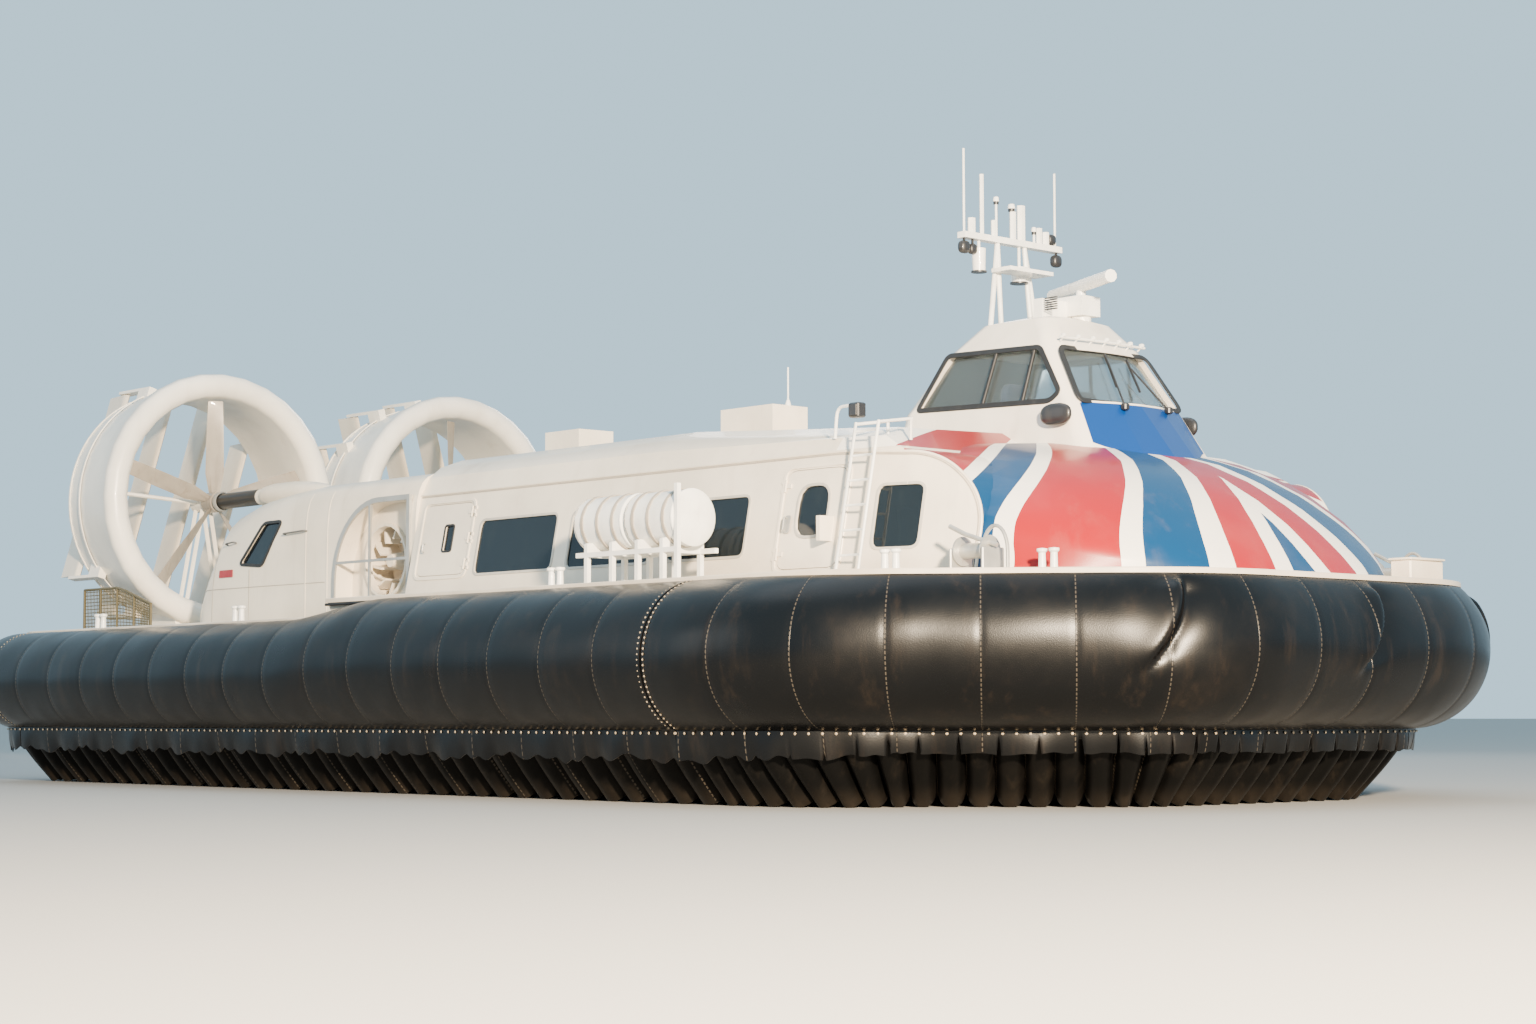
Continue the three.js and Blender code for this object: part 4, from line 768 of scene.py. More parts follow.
def arcThrough(p, q, r, t):
    # points at the shares t of the arc through p, q and r, the ways out of it, and its length
    (ax, ay), (bx, by), (cx, cy) = p, q, r
    d = 2 * (ax * (by - cy) + bx * (cy - ay) + cx * (ay - by))
    a2, b2, c2 = ax ** 2 + ay ** 2, bx ** 2 + by ** 2, cx ** 2 + cy ** 2
    ux = (a2 * (by - cy) + b2 * (cy - ay) + c2 * (ay - by)) / d
    uy = (a2 * (cx - bx) + b2 * (ax - cx) + c2 * (bx - ax)) / d
    radius = np.hypot(ax - ux, ay - uy)
    start = np.arctan2(ay - uy, ax - ux)
    end = np.arctan2(cy - uy, cx - ux)
    end = np.where(end > start, end - 2 * np.pi, end)
    angle = start[:, None] + (end - start)[:, None] * t
    away = np.stack([np.cos(angle), np.sin(angle)], -1)
    return np.stack([ux, uy], -1)[:, None] + radius[:, None, None] * away, away, radius * np.abs(end - start)


def bagArc(top, share, t, gap=0.0):
    # from the raft's leaning side at the height top, over the bulge, to the lower seam
    inset = -deck["chine"] + (top - deck["bottomZ"]) * deck["chine"] / (deck["z"] - deck["bottomZ"])
    level = np.ones_like(top)
    return arcThrough((inset + gap, top), (tucked(bag, "bulge", share) * level, bag["bulgeZ"] * level),
                      (tucked(bag, "seamOut", share) * level, bag["seamZ"] * level), t)


def skirtPiece(name, material, rows, section, s, v, **more):
    # a section of (out, z) points stands up at each row
    x = rows[:, None, 0] + rows[:, None, 2] * section[..., 0]
    y = rows[:, None, 1] + rows[:, None, 3] * section[..., 0]
    uv = np.stack([np.broadcast_to(s[:, None], v.shape), v], -1).reshape(-1, 2)
    shell = surface(np.stack([x, y, section[..., 1]], -1), wrapCols=True, caps=True)
    makePiece(name, [shell], material, uv=uv, closed=True, **more)


# Slow wrinkles all over, and fine ones near the lower seam. Round is by metres round the craft, down by the share
# of the section.
wrinkle = {"slow": 0.006, "slowRound": 3.1, "slowDown": 5.0, "crossDown": 7.3, "crossRound": 0.9,
           "fine": 0.004, "fineRound": 11.0, "fineSway": 2.0, "fineDown": 9.0, "fineAt": 0.9, "fineWidth": 0.14}
# Pleats in the bag at the bow: metres round from the bow's middle, which way they lie, depth
folds = [(-2.96, 1, 0.17), (0.27, 1, 0.17), (3.4, -1, 0.15)]
pleat = {"bend": 2.6, "from": 0.07, "rise": 0.4, "swell": 0.26, "fall": 0.75, "back": 0.22, "sharp": 0.017,
         "top": (0.03, 0.14), "foot": (0.40, 0.55)}
# The strip that hangs from the lower seam, ragged along the sides and in square flaps round the bow
apron = {"drop": 0.34, "bowDrop": 0.26, "thick": 0.014, "flap": 0.46, "slitAt": 0.93, "slit": 0.16, "calm": 0.7,
         "ragged": 0.05, "longRound": (2.3, 5.1), "longShift": 1.7, "shortRound": 17.0, "shortShare": 0.5,
         "sway": 2, "swayRound": 3, "swing": 0.02, "swingRound": 3.7, "flutter": 0.012, "flutterRound": 9.1,
         "curl": 0.04, "steps": 5}


def bagPush(s, t, bow):
    # puff between the panels' seams - pinch at them + wrinkles, fading to nothing at both edges of the section
    b, w, p = bag, wrinkle, pleat
    near = np.abs((s + b["panel"] / 2) % b["panel"] - b["panel"] / 2)
    push = b["puff"] * np.sin(np.pi * near / b["panel"]) - b["pinch"] * np.exp(-(near / b["pinchWidth"]) ** 2)
    slow = np.sin(w["slowRound"] * s + w["slowDown"] * t) * np.sin(w["crossDown"] * t + w["crossRound"] * s)
    fine = np.sin(w["fineRound"] * s + w["fineSway"] * np.sin(w["fineDown"] * t))
    fine = fine * np.exp(-((t - w["fineAt"]) / w["fineWidth"]) ** 2)
    push = (push + w["slow"] * slow + w["fine"] * fine) * np.sin(np.pi * t) ** b["fade"]
    # pleat: the skin swells up to the crease, drops past it and comes back slowly, and the crease bends away below
    for place, way, depth in folds if bow else ():
        off = way * (s - place) + p["bend"] * np.clip(t - p["from"], 0, 1) ** 2
        reach = ease(*p["top"], t) * (1 - ease(*p["foot"], t))
        over = 1 / (1 + np.exp(-np.clip(off / p["sharp"], -40, 40)))
        swell = p["rise"] * np.exp(-(off / p["swell"]) ** 2) * (1 - over)
        push += depth * reach * (swell - p["fall"] * np.exp(-np.clip(off, 0, 9) / p["back"]) * over)
    return push


def apronHang(s, share, seam):
    # drop = length + ragged waves of three lengths - slits between the flaps
    # out = seam + slow and quick swing - curl
    a = apron
    one, two = a["longRound"]
    waves = np.sin(one * s) * np.sin(two * s + a["longShift"])
    waves += a["shortShare"] * np.sin(a["shortRound"] * s + a["sway"] * np.sin(a["swayRound"] * s))
    cut = np.abs((s / a["flap"]) % 1 - 0.5) * 2
    drop = a["drop"] + (a["bowDrop"] - a["drop"]) * share + a["ragged"] * waves * (1 - a["calm"] * share)
    drop = drop - a["slit"] * share * (cut > a["slitAt"])
    w = np.linspace(0, 1, a["steps"] + 1)[1:]
    swing = a["swing"] * np.sin(a["swingRound"] * s) + a["flutter"] * np.sin(a["flutterRound"] * s)
    out = seam[:, None] + swing[:, None] * w - a["curl"] * w * w
    return np.stack([out, bag["seamZ"] - drop[:, None] * w], -1)


def makeBag(kind):
    rows = stretchOf(kind)
    length = np.linalg.norm(np.diff(rows[:, :2], axis=0), axis=1).sum()
    step = bag["bowStep"] if kind == "bow" else bag["step"]
    out = tucked(bag, "bulge", tuckShare(rows)) * bag["walk"]
    rows, s, _ = walked(rows, out, max(bag["fewest"], int(length * bag["slack"] / step)))
    share = tuckShare(rows)
    top = bag["aftTopZ"] + (bag["topZ"] - bag["aftTopZ"]) * ease(*bag["topRise"], rows[:, 0])
    t = np.linspace(0, 1, bag["around"] + 1)
    arc, away, arcLength = bagArc(top, share, t, bag["gap"])
    arc = arc + bagPush(s[:, None], t, kind == "bow")[..., None] * away
    hang = apronHang(s, share, tucked(bag, "seamOut", share))
    back = hang[:, ::-1] - (apron["thick"], 0)
    inner = np.broadcast_to((-deck["chine"] + bag["gap"], deck["bottomZ"]), (len(s), 1, 2))
    section = np.concatenate([arc, hang, back, inner], 1)
    v = np.arange(section.shape[1]) / bag["around"] * arcLength[:, None]
    skirtPiece(f"bag_{kind}", "bag", rows, section, s, v, slot="rubber", sharp=60, replaces=[f"skirt_bag_{kind}"])


finger = {"pitch": 0.34, "sidePitch": 0.46, "perFinger": 10, "down": 12, "topOut": 0.27, "tipOut": -0.40,
          "tipIn": -0.52, "root": -1.25, "sternRoot": -0.86, "slope": 0.4, "dip": 0.22, "round": 0.7, "recess": 0.12,
          "topRecess": 0.6, "backRecess": 0.2, "notch": 0.16, "tongue": 1.5, "tipZ": 0.004, "lip": 0.03,
          "belly": 0.045, "gap": 0.004, "uvStep": 0.1}


def makeFingers(kind):
    # a finger's front is a half round: crease at phase 0, crown at phase 1/2, and its tip is a rounded tongue
    f = finger
    rows = stretchOf(kind)
    share = tuckShare(rows)
    middle = (tucked(f, "tipOut", share) + tucked(f, "topOut", share)) / 2
    total = walked(rows, middle, f["perFinger"])[2]
    count = round(total / (f["pitch"] if kind == "bow" else f["sidePitch"]))
    rows, s, _ = walked(rows, middle, count * f["perFinger"] + 1)
    share = tuckShare(rows)
    phase = np.arange(len(s)) % f["perFinger"] / f["perFinger"]
    crown = np.abs(np.sin(np.pi * phase)) ** f["round"]
    recess = f["recess"] * (1 - crown)
    top = tucked(f, "topOut", share) - recess * f["topRecess"]
    dip = f["dip"] * np.sqrt(share * (1 - share))
    topZ = bag["seamZ"] + (tucked(bag, "seamOut", share) - top) * f["slope"] - dip - f["gap"]
    tipZ = f["tipZ"] + f["notch"] * (1 - crown) ** f["tongue"]
    tipOut = tucked(f, "tipOut", share) - recess
    w = np.linspace(0, 1, f["down"])
    out = top[:, None] + (tipOut - top)[:, None] * w + f["belly"] * np.sin(np.pi * w) * crown[:, None]
    z = topZ[:, None] + (tipZ - topZ)[:, None] * w
    rootZ = np.full_like(top, deck["bottomZ"] - f["gap"])
    root = np.full_like(top, f["sternRoot"]) if kind == "stern" else tucked(f, "root", share)
    behind = [(tucked(f, "tipIn", share) - recess * f["backRecess"], tipZ + f["lip"]), (root, rootZ),
              (-deck["chine"] - f["gap"] - dip, rootZ)]
    section = np.concatenate([np.stack([out, z], -1)] + [np.stack(place, -1)[:, None] for place in behind], 1)
    v = np.tile(np.arange(section.shape[1]) * f["uvStep"], (len(s), 1))
    skirtPiece(f"fingers_{kind}", "finger", rows, section, s, v, slot="finger", sharp=50,
               replaces=[f"skirt_fingers_{kind}"])


stretches = ("bow", "starboard", "port", "stern")
for kind in stretches:
    makeBag(kind)
    makeFingers(kind)
print("skirt made")

# Shapes of cushions: how square, the crown on top, and the rows and columns of the mesh
seating = {"rows": 8, "x": -1.10, "pitch": 0.86, "firstY": 0.735, "seatPitch": 0.455, "across": 7, "floorZ": 2.76,
           "pan": (0.44, 0.42, 0.13), "panAt": (0.22, 0.39), "back": (0.14, 0.42, 0.66), "backAt": (0.02, 0.76),
           "panShape": (0.5, 0.12), "backShape": (0.45,), "legY": (0.6, 2.0, 3.5), "legX": (0.04, 0.34),
           "legHalf": 0.02, "legHeight": 0.33, "legEdge": 0.006,
           "floor": ((-1.72, -3.95, 2.704), (7.60, 3.95, 2.76), 0.01)}


def makeSeats(c):
    rowX = c["x"] + np.arange(c["rows"]) * c["pitch"]
    seatY = c["firstY"] + np.arange(c["across"]) * c["seatPitch"]
    x, y = (part.ravel() for part in np.meshgrid(rowX, np.concatenate([-seatY, seatY]), indexing="ij"))
    at = lambda place: np.stack([x + place[0], y, np.full_like(x, c["floorZ"] + place[1])], -1)
    shells = pads(at(c["panAt"]), c["pan"], *c["panShape"]) + pads(at(c["backAt"]), c["back"], *c["backShape"])
    made = makePiece("seatCushions", shells, "seatCloth", slot="seats", replaces=["cabin_floor_seats"])
    parts = [softBox(*c["floor"])]
    for row in rowX:
        for y in np.outer((-1, 1), c["legY"]).ravel():
            parts.append(softBox((row + c["legX"][0], y - c["legHalf"], c["floorZ"]),
                                 (row + c["legX"][1], y + c["legHalf"], c["floorZ"] + c["legHeight"]), c["legEdge"]))
    makePiece("cabinCarpet", parts, "carpet", slot="seats", replaces=["cabin_floor_seats"])


helm = {"boxes": [((5.70, -1.15, 4.28), (8.35, 1.15, 4.33)), ((6.25, -0.35, 2.77), (7.10, 0.35, 4.30))],
        "boxEdge": 0.01, "panShape": (0.5, 0.1, 14, 28), "backShape": (0.45, 0, 14, 28),
        "console": [(7.75, 4.32), (8.10, 4.32), (8.10, 4.78), (7.98, 4.83), (7.78, 4.68)],
        "consoleY": (-0.95, -0.94, 0.94, 0.95), "chairX": 7.10, "backX": 6.84, "chairY": (-0.65, 0.65),
        "post": 0.06, "postZ": (4.31, 4.58), "pan": (0.50, 0.52, 0.14), "panZ": 4.64,
        "back": (0.15, 0.50, 0.66), "backZ": 5.0}


def makeHelm(c):
    parts = [softBox(low, high, c["boxEdge"]) for low, high in c["boxes"]]
    rows = np.array([[(x, y, z) for x, z in c["console"]] for y in c["consoleY"]])
    parts.append(surface(rows, wrapCols=True, caps=True))
    parts += [tube([(c["chairX"], y, z) for z in c["postZ"]], c["post"], 12) for y in c["chairY"]]
    makePiece("helmConsole", parts, "black", slot="seats", replaces=["helm"], closed=True)
    pans = [(c["chairX"], y, c["panZ"]) for y in c["chairY"]]
    backs = [(c["backX"], y, c["backZ"]) for y in c["chairY"]]
    shells = pads(pans, c["pan"], *c["panShape"]) + pads(backs, c["back"], *c["backShape"])
    chairs = makePiece("helmChairs", shells, "seatCloth", slot="seats", replaces=["helm"])


makeSeats(seating)
makeHelm(helm)
print("seats and helm made")

# The surfaces that small pieces sit on. Each takes a flat outline and gives its points there and the ways out.
cabin = {"halfWidth": 4.2, "lean": 0.3, "gutterZ": 4.25, "bendX": 6.8, "bendEndX": 9.15, "bendIn": 0.8,
         "arcX": 7.92, "arcZ": 3.25, "arcRadius": 0.95}
# by level: front x at the corners, half width, and how far the front bows out, whole at the middle
wheelhouse = {"z": [3.5, 4.24, 5.03, 5.8, 6.15, 6.215], "front": [9.25, 8.64, 8.19, 7.7, 7.4, 7.25],
              "half": [1.45, 1.26, 1.08, 0.9, 0.68, 0.42], "crown": [0.45, 0.3, 0.15, 0.06, 0.03, 0.01],
              "corner": 0.23, "bow": [0, 0.75, 1, 0.75, 0], "turn": 0.12, "reach": 0.2}
# by place along the pod: half width, height over its floor, and how square its section is
pod = {"y": 2.463, "floor": 2.45, "x": [-8.56, -8.45, -8.2, -7.9, -7.4, -6.5, -5.6, -4.6, -1.83],
       "half": [0.6, 1.0, 1.35, 1.47, 1.52, 1.54, 1.55, 1.55, 1.55],
       "rise": [0.62, 1.12, 1.6, 1.85, 1.97, 2.05, 2.12, 2.17, 2.17], "power": [2, 2, 2, 2.2, 3.6, 5.8, 7, 8, 8]}


def onCabin(outline, lift=0.0):
    # (x, z) on the leaning starboard wall, which turns in by bendIn times the square of the share past bendX
    x, z = np.asarray(outline, float).T
    c = cabin
    shares = np.linspace(0, 1, 5)
    bend = c["bendEndX"] - c["bendX"]
    width = np.interp(x, c["bendX"] + shares * bend, c["halfWidth"] - c["bendIn"] * shares ** 2)
    slope = c["lean"] / (c["gutterZ"] - deck["z"])
    turnIn = np.where(x > c["bendX"], 2 * c["bendIn"] * (x - c["bendX"]) / bend ** 2, 0)
    away = unit(np.stack([turnIn, -np.ones_like(x), np.full_like(x, slope)], -1))
    return np.stack([x, -(width - slope * (z - deck["z"])), z], -1) + lift * away, away


def houseSlope(z, key):
    w = wheelhouse
    low, high = (np.interp(z + way * w["reach"], w["z"], w[key]) for way in (-1, 1))
    return (low - high) / (2 * w["reach"])


def onHouseSide(outline, lift=0.0):
    x, z = np.asarray(outline, float).T
    away = unit(np.stack([np.zeros_like(x), -np.ones_like(x), houseSlope(z, "half")], -1))
    return np.stack([x, -np.interp(z, wheelhouse["z"], wheelhouse["half"]), z], -1) + lift * away, away


def onHouseFront(outline, lift=0.0):
    # (y, z) on the bowed front
    y, z = np.asarray(outline, float).T
    w = wheelhouse
    share = y / (np.interp(z, w["z"], w["half"]) - w["corner"])
    bow = np.interp(share, np.linspace(-1, 1, 5), w["bow"])
    x = np.interp(z, w["z"], w["front"]) + bow * np.interp(z, w["z"], w["crown"])
    away = unit(np.stack([np.ones_like(y), w["turn"] * share, houseSlope(z, "front")], -1))
    return np.stack([x, y, z], -1) + lift * away, away


def onPod(outline, lift=0.0):
    # (x, z) on the outer side: (out / half)^power + (height / rise)^power = 1
    x, z = np.asarray(outline, float).T
    half, rise, power = (np.interp(x, pod["x"], pod[key]) for key in ("half", "rise", "power"))
    high = np.clip((z - pod["floor"]) / rise, 0, 0.999)
    y = -(pod["y"] + half * (1 - high ** power) ** (1 / power))
    away = unit(np.stack([np.zeros_like(x), -np.ones_like(x), high ** (power - 1)], -1))
    return np.stack([x, y, z], -1) + lift * away, away


def rectangle(x0, x1, z0, z1):
    return [(x0, z0), (x1, z0), (x1, z1), (x0, z1)]


def frameOn(surfaceOf, corners, radius, width, height, grow):
    # a flat profile carried round an outline that is grown past the opening
    corners = np.asarray(corners, float)
    corners = corners + grow * np.sign(corners - corners.mean(0))
    points, away = surfaceOf(roundLoop(corners, radius))
    return carried(points, plank(width, height), away, closed=True)


def paneOn(surfaceOf, corners, radius, thick, lift):
    # a thin sheet that fills a rounded outline
    outer, away = surfaceOf(roundLoop(corners, radius), lift)
    return surface(np.stack([outer - thick * away, outer]), wrapCols=True, caps=True)


def stripOn(surfaceOf, path, width, height, lift):
    points, away = surfaceOf(path, lift)
    return carried(points, plank(width, height), away)


def barOn(surfaceOf, ends, lift, reach, radius, smooth, up=(1, 0, 0)):
    # a bar held off the surface by its two bent ends
    feet, away = surfaceOf(ends, lift)
    return tube(np.vstack([feet[:1], feet + reach * away, feet[1:]]), radius, 8, up, smooth)


# Windows, doors and hatches
cabinWindows = [rectangle(x0, x1, 3.04, 3.79) for x0, x1 in [(-0.23, 1.52), (1.86, 3.61), (3.95, 5.42), (7.60, 8.18)]]
doorPane, hatchPane = rectangle(6.33, 6.86, 3.23, 3.85), rectangle(-1.08, -0.88, 3.40, 3.76)
podPane = [(-6.66, 3.46), (-6.00, 3.41), (-5.47, 4.06), (-6.02, 4.06)]
# name, body, surface, outlines, corner radius, thickness, lift off the surface
panes = [
    ("windowPanes", None, onCabin, cabinWindows, 0.11, 0.008, -0.012),
    ("doorPane", "door", onCabin, [doorPane], 0.21, 0.008, -0.02),
    ("hatchPane", "hatch", onCabin, [hatchPane], 0.04, 0.008, -0.02),
    ("podPane", None, onPod, [podPane], 0.09, 0.01, -0.03),
]
# name, body, material, surface, outlines, corner radius, width, height, growth past the outline
rims = [
    ("windowRims", None, "rim", onCabin, cabinWindows, 0.11, 0.036, 0.012, 0.012),
    ("doorRim", "door", "rim", onCabin, [doorPane], 0.21, 0.036, 0.012, 0.012),
    ("hatchGasket", "hatch", "gasket", onCabin, [hatchPane], 0.04, 0.03, 0.012, 0.008),
    ("podGasket", None, "gasket", onPod, [podPane], 0.09, 0.05, 0.016, 0.01),
]
# the raised frames that the door and the hatch close into: outline, radius, width, height, growth
surrounds = [(rectangle(6.07, 7.12, 2.83, 4.06), 0.15, 0.05, 0.018, 0.04),
             (rectangle(-1.64, -0.47, 3.05, 4.08), 0.13, 0.045, 0.016, 0.036)]
house = {"side": ([(5.48, 5.08), (7.79, 5.01), (7.94, 5.12), (7.49, 5.715), (5.89, 5.76)], 0.07, 0.07, 0.016, 0.012),
         "front": ([(-0.98, 4.99), (0.98, 4.99), (0.83, 5.70), (-0.83, 5.70)], 0.11, 0.075, 0.018, 0.012),
         "mullions": [((6.634, 5.05), (6.747, 5.73)), ((7.330, 5.035), (7.406, 5.71))],
         "mullion": (0.045, 0.032), "mullionIn": -0.02}


def makeWindows():
    for name, body, surfaceOf, outlines, *rest in panes:
        bothSides(name, [paneOn(surfaceOf, line, *rest) for line in outlines], "tinted", body, slot="glass")
    for name, body, material, surfaceOf, outlines, *rest in rims:
        bothSides(name, [frameOn(surfaceOf, line, *rest) for line in outlines], material, body, slot="rubber")
    bothSides("doorSurrounds", [frameOn(onCabin, *row) for row in surrounds], "cabin", slot="cabin")
    parts = [frameOn(onHouseSide, *house["side"])]
    for ends in house["mullions"]:
        points, away = onHouseSide(ends, house["mullionIn"])
        parts.append(carried(np.linspace(*points, 6), plank(*house["mullion"]), away[0]))
    bothSides("houseSideFrame", parts, "gasket", slot="rubber")
    makePiece("windscreenFrame", [frameOn(onHouseFront, *house["front"])], "gasket", slot="rubber")


# The gutter is a cream bead along the wall's top and down the cheek. The darker strip set just under it is painted
# shadow of the bead.
gutter = {"aftX": -1.80, "turnX": 7.0, "z": 4.243, "footZ": 2.73, "pull": 0.014, "lift": 0.002, "bead": 0.02,
          "shadowLineDrop": 0.032, "line": (0.016, 0.005)}


def gutterRun(drop, profile):
    # along the wall's top, then down the round cheek: (arcX + r sin a, arcZ + r cos a)
    g, c = gutter, cabin
    r = c["arcRadius"] - g["pull"]
    x = np.linspace(g["aftX"], c["arcX"], 60)
    top = np.stack([x, np.interp(x, [g["turnX"], c["arcX"]], [g["z"], c["arcZ"] + r]) - drop], -1)
    angle = np.linspace(0, np.pi / 2, 24)[1:]
    r -= drop
    cheek = np.stack([c["arcX"] + r * np.sin(angle), c["arcZ"] + r * np.cos(angle)], -1)
    down = np.stack([np.full(8, c["arcX"] + r), np.linspace(c["arcZ"], g["footZ"], 9)[1:]], -1)
    points, away = onCabin(np.vstack([top, cheek, down]), g["lift"])
    return carried(points, profile, away)


handle = {"plate": (rectangle(6.15, 6.25, 3.28, 3.50), 0.04, 0.008, 0.026),
          "door": ([(6.17, 3.31), (6.17, 3.47)], 0.02, 0.045, 0.012, 0.02),
          "hatch": ([(-1.50, 3.40), (-1.50, 3.52)], 0.02, 0.04, 0.01, 0.02)}

makeWindows()
bothSides("gutter", [gutterRun(0, ring(gutter["bead"], 8))], "cabin", slot="cabin")
# painted shadow: a darker strip of joint filler just under the bead, where the bead's shadow falls
bothSides("gutterShadowLine", [gutterRun(gutter["shadowLineDrop"], plank(*gutter["line"]))], "seam", slot="rubber")
bothSides("doorHandle", [paneOn(onCabin, *handle["plate"]), barOn(onCabin, *handle["door"])], "steel", "door",
          slot="steel")
bothSides("hatchHandle", [barOn(onCabin, *handle["hatch"])], "steel", "hatch", slot="steel")
print("windows, doors and gutters made")

# Wheelhouse fittings; a wiper goes from its pivot to its top, and its blade is placed from there
wiper = {"runs": [((-0.38, 4.90), (-0.20, 5.50)), ((0.52, 4.92), (0.20, 5.46))], "lift": 0.05, "topLift": 0.06,
         "arm": 0.013, "bladeY": (-0.098, 0.062), "bladeZ": (-0.32, 0.14), "bladeLift": 0.026, "blade": (0.022, 0.03),
         "motor": 0.045, "motorEdge": 0.015}
lampRail = {"z": 5.80, "half": 0.82, "lift": 0.07, "radius": 0.017, "lamps": 7, "lampHalf": 0.7544, "stem": 0.075,
            "stemRadius": 0.012, "lampOut": 0.08, "lampUp": 0.02, "lamp": (0.07, 0.05, 0.055),
            "lampShape": (0.6, 0, 6, 10)}
mirror = {"at": (8.04, -1.235, 4.80), "size": (0.50, 0.13, 0.28), "foot": (8.04, -1.135, 4.80), "stem": 0.03,
          "shape": (0.8, 0, 12, 24)}


def makeWheelhouseFittings():
    parts = []
    for pivot, top in wiper["runs"]:
        low, high = onHouseFront([pivot], wiper["lift"])[0][0], onHouseFront([top], wiper["topLift"])[0][0]
        parts.append(tube(np.linspace(low, high, 5), wiper["arm"], 8))
        path = np.stack([top[0] + np.linspace(*wiper["bladeY"], 6), top[1] + np.linspace(*wiper["bladeZ"], 6)], -1)
        parts.append(stripOn(onHouseFront, path, *wiper["blade"], wiper["bladeLift"]))
        parts.append(softBox(low - wiper["motor"], low + wiper["motor"], wiper["motorEdge"]))
    makePiece("wipers", parts, "black", slot="black")
    c = lampRail
    acrossAt = lambda half, count: [(y, c["z"]) for y in np.linspace(-half, half, count)]
    parts = [tube(onHouseFront(acrossAt(c["half"], 14), c["lift"])[0], c["radius"], 8)]
    for at, away in zip(*onHouseFront(acrossAt(c["lampHalf"], c["lamps"]))):
        parts.append(tube([at, at + away * c["stem"]], c["stemRadius"], 6))
        parts += pads([at + away * c["lampOut"] + (0, 0, c["lampUp"])], c["lamp"], *c["lampShape"])
    makePiece("lampRail", parts, "mast", slot="mast")
    parts = pads([mirror["at"]], mirror["size"], *mirror["shape"])
    parts.append(tube([mirror["foot"], mirror["at"]], mirror["stem"], 8))
    bothSides("mirror", parts, "black", slot="black")


# lamps: y, above the yard, radius; caps likewise; floods: y, above the yard, radius, height
mastGear = {"x": 6.17, "yard": 7.35, "lampStem": 0.018, "capStem": 0.016, "floodStem": 0.02,
            "lamps": [(-0.90, -0.16, 0.085), (-0.74, -0.17, 0.07), (0.80, 0.13, 0.075), (0.90, -0.15, 0.085)],
            "caps": [(-0.28, 0.52, 0.04), (0.02, 0.46, 0.05), (0.46, 0.20, 0.035)],
            "floods": [(-0.62, -0.30, 0.085, 0.30), (0.16, -0.42, 0.10, 0.20)],
            "lampSize": (1.5, 2, 2), "lampShape": (0.7, 0, 10, 18), "capFoot": 0.02, "brim": 0.02,
            # turned profiles as (along, share of the radius)
            "capTop": [(0, 0), (0, 1), (0.025, 1), (0.06, 0.8), (0.07, 0)],
            "capUnder": [(-0.035, 0), (-0.035, 0.92), (0, 0.92), (0, 0)], "floodFlare": 1.1, "brimShare": 1.25}
# slots in the radar's pedestal: how many, and where they start and step as shares of its size. They are black bars
# standing on its face, painted shade of the vent openings.
slots = {"count": 6, "x": 0.52, "z": 0.30, "step": 0.09, "length": 0.22, "height": 0.018, "out": 0.008, "in": 0.01,
         "edge": 0.004}


def makeMastGear():
    m, thinnest = mastGear, 0.001
    at = lambda y, up: (m["x"], y, m["yard"] + up)
    stem = lambda y, low, high, radius: tube([at(y, low), at(y, high)], radius, 8, up=(1, 0, 0))
    turned = lambda profile, r, y, up, steps: lathe([(along, max(thinnest, share * r)) for along, share in profile],
                                                    at(y, up), 2, steps)
    dark, pale = [], []
    for y, up, radius in m["lamps"]:
        dark += pads([at(y, up)], [share * radius for share in m["lampSize"]], *m["lampShape"])
        dark.append(stem(y, up, 0.0, m["lampStem"]))
    for y, up, r in m["caps"]:
        pale.append(stem(y, m["capFoot"], up, m["capStem"]))
        pale.append(turned(m["capTop"], r, y, up, 16))
        dark.append(turned(m["capUnder"], r, y, up, 16))
    for y, up, r, height in m["floods"]:
        low = up - height / 2
        flare, wide, brim = m["floodFlare"], m["brimShare"], m["brim"]
        pale.append(turned([(0, 0), (0, 1), (height, flare), (height, 0)], r, y, low, 20))
        dark.append(turned([(0, 0), (0, wide), (brim, wide), (brim, 0)], r, y, low - brim, 20))
        pale.append(stem(y, up, 0.0, m["floodStem"]))
    low, high = (np.subtract(corner, (midships, 0, 0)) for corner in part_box("radar_pedestal"))
    # painted shade: black bars across the pedestal's starboard face where its vent slots are dark inside
    for k in range(slots["count"]):
        x, _, z = low + (high - low) * (slots["x"], 0, slots["z"] + slots["step"] * k)
        dark.append(softBox((x, low[1] - slots["out"], z),
                            (x + slots["length"], low[1] + slots["in"], z + slots["height"]), slots["edge"]))
    makePiece("mastLamps", dark, "black", slot="black")
    makePiece("mastFittings", pale, "mast", slot="mast")


makeWheelhouseFittings()
makeMastGear()

# Deck edge and seam washers; the edge's profile and strip are (out, z) from the deck's edge
edge = {"profile": [(-0.085, 0.002), (-0.085, 0.014), (0.016, 0.014), (0.026, 0.004), (0.026, -0.05), (0.014, -0.05)],
        "stripOut": 0.016, "stripZ": -0.075, "strip": 0.02, "step": 0.05}
washer = {"step": 0.155, "radius": 0.019, "thick": 0.014, "out": 0.012, "drop": 0.03, "lace": 0.0152,
          "laceApart": 0.05, "laces": 36, "laceRange": (0.05, 0.97)}


def makeDeckEdge(e):
    half = planHalf(e["step"])
    fore, aft = half[half[:, 0] > deck["stepX"]], half[half[:, 0] < deck["stepX"]]
    for name, rows, z in (("fore", roundBow(fore), deck["z"]), ("aft", roundStern(aft), deck["aftZ"])):
        at = lambda out, level: np.column_stack([rows[:, :2] + rows[:, 2:] * out, np.full(len(rows), level)])
        makePiece(f"deckEdge_{name}", [carried(at(0, z), e["profile"])], "cabin", slot="hull", closed=True)
        strip = carried(at(e["stripOut"], z + e["stripZ"]), ring(e["strip"], 8))
        makePiece(f"rubbingStrip_{name}", [strip], "gasket", slot="rubber", closed=True)


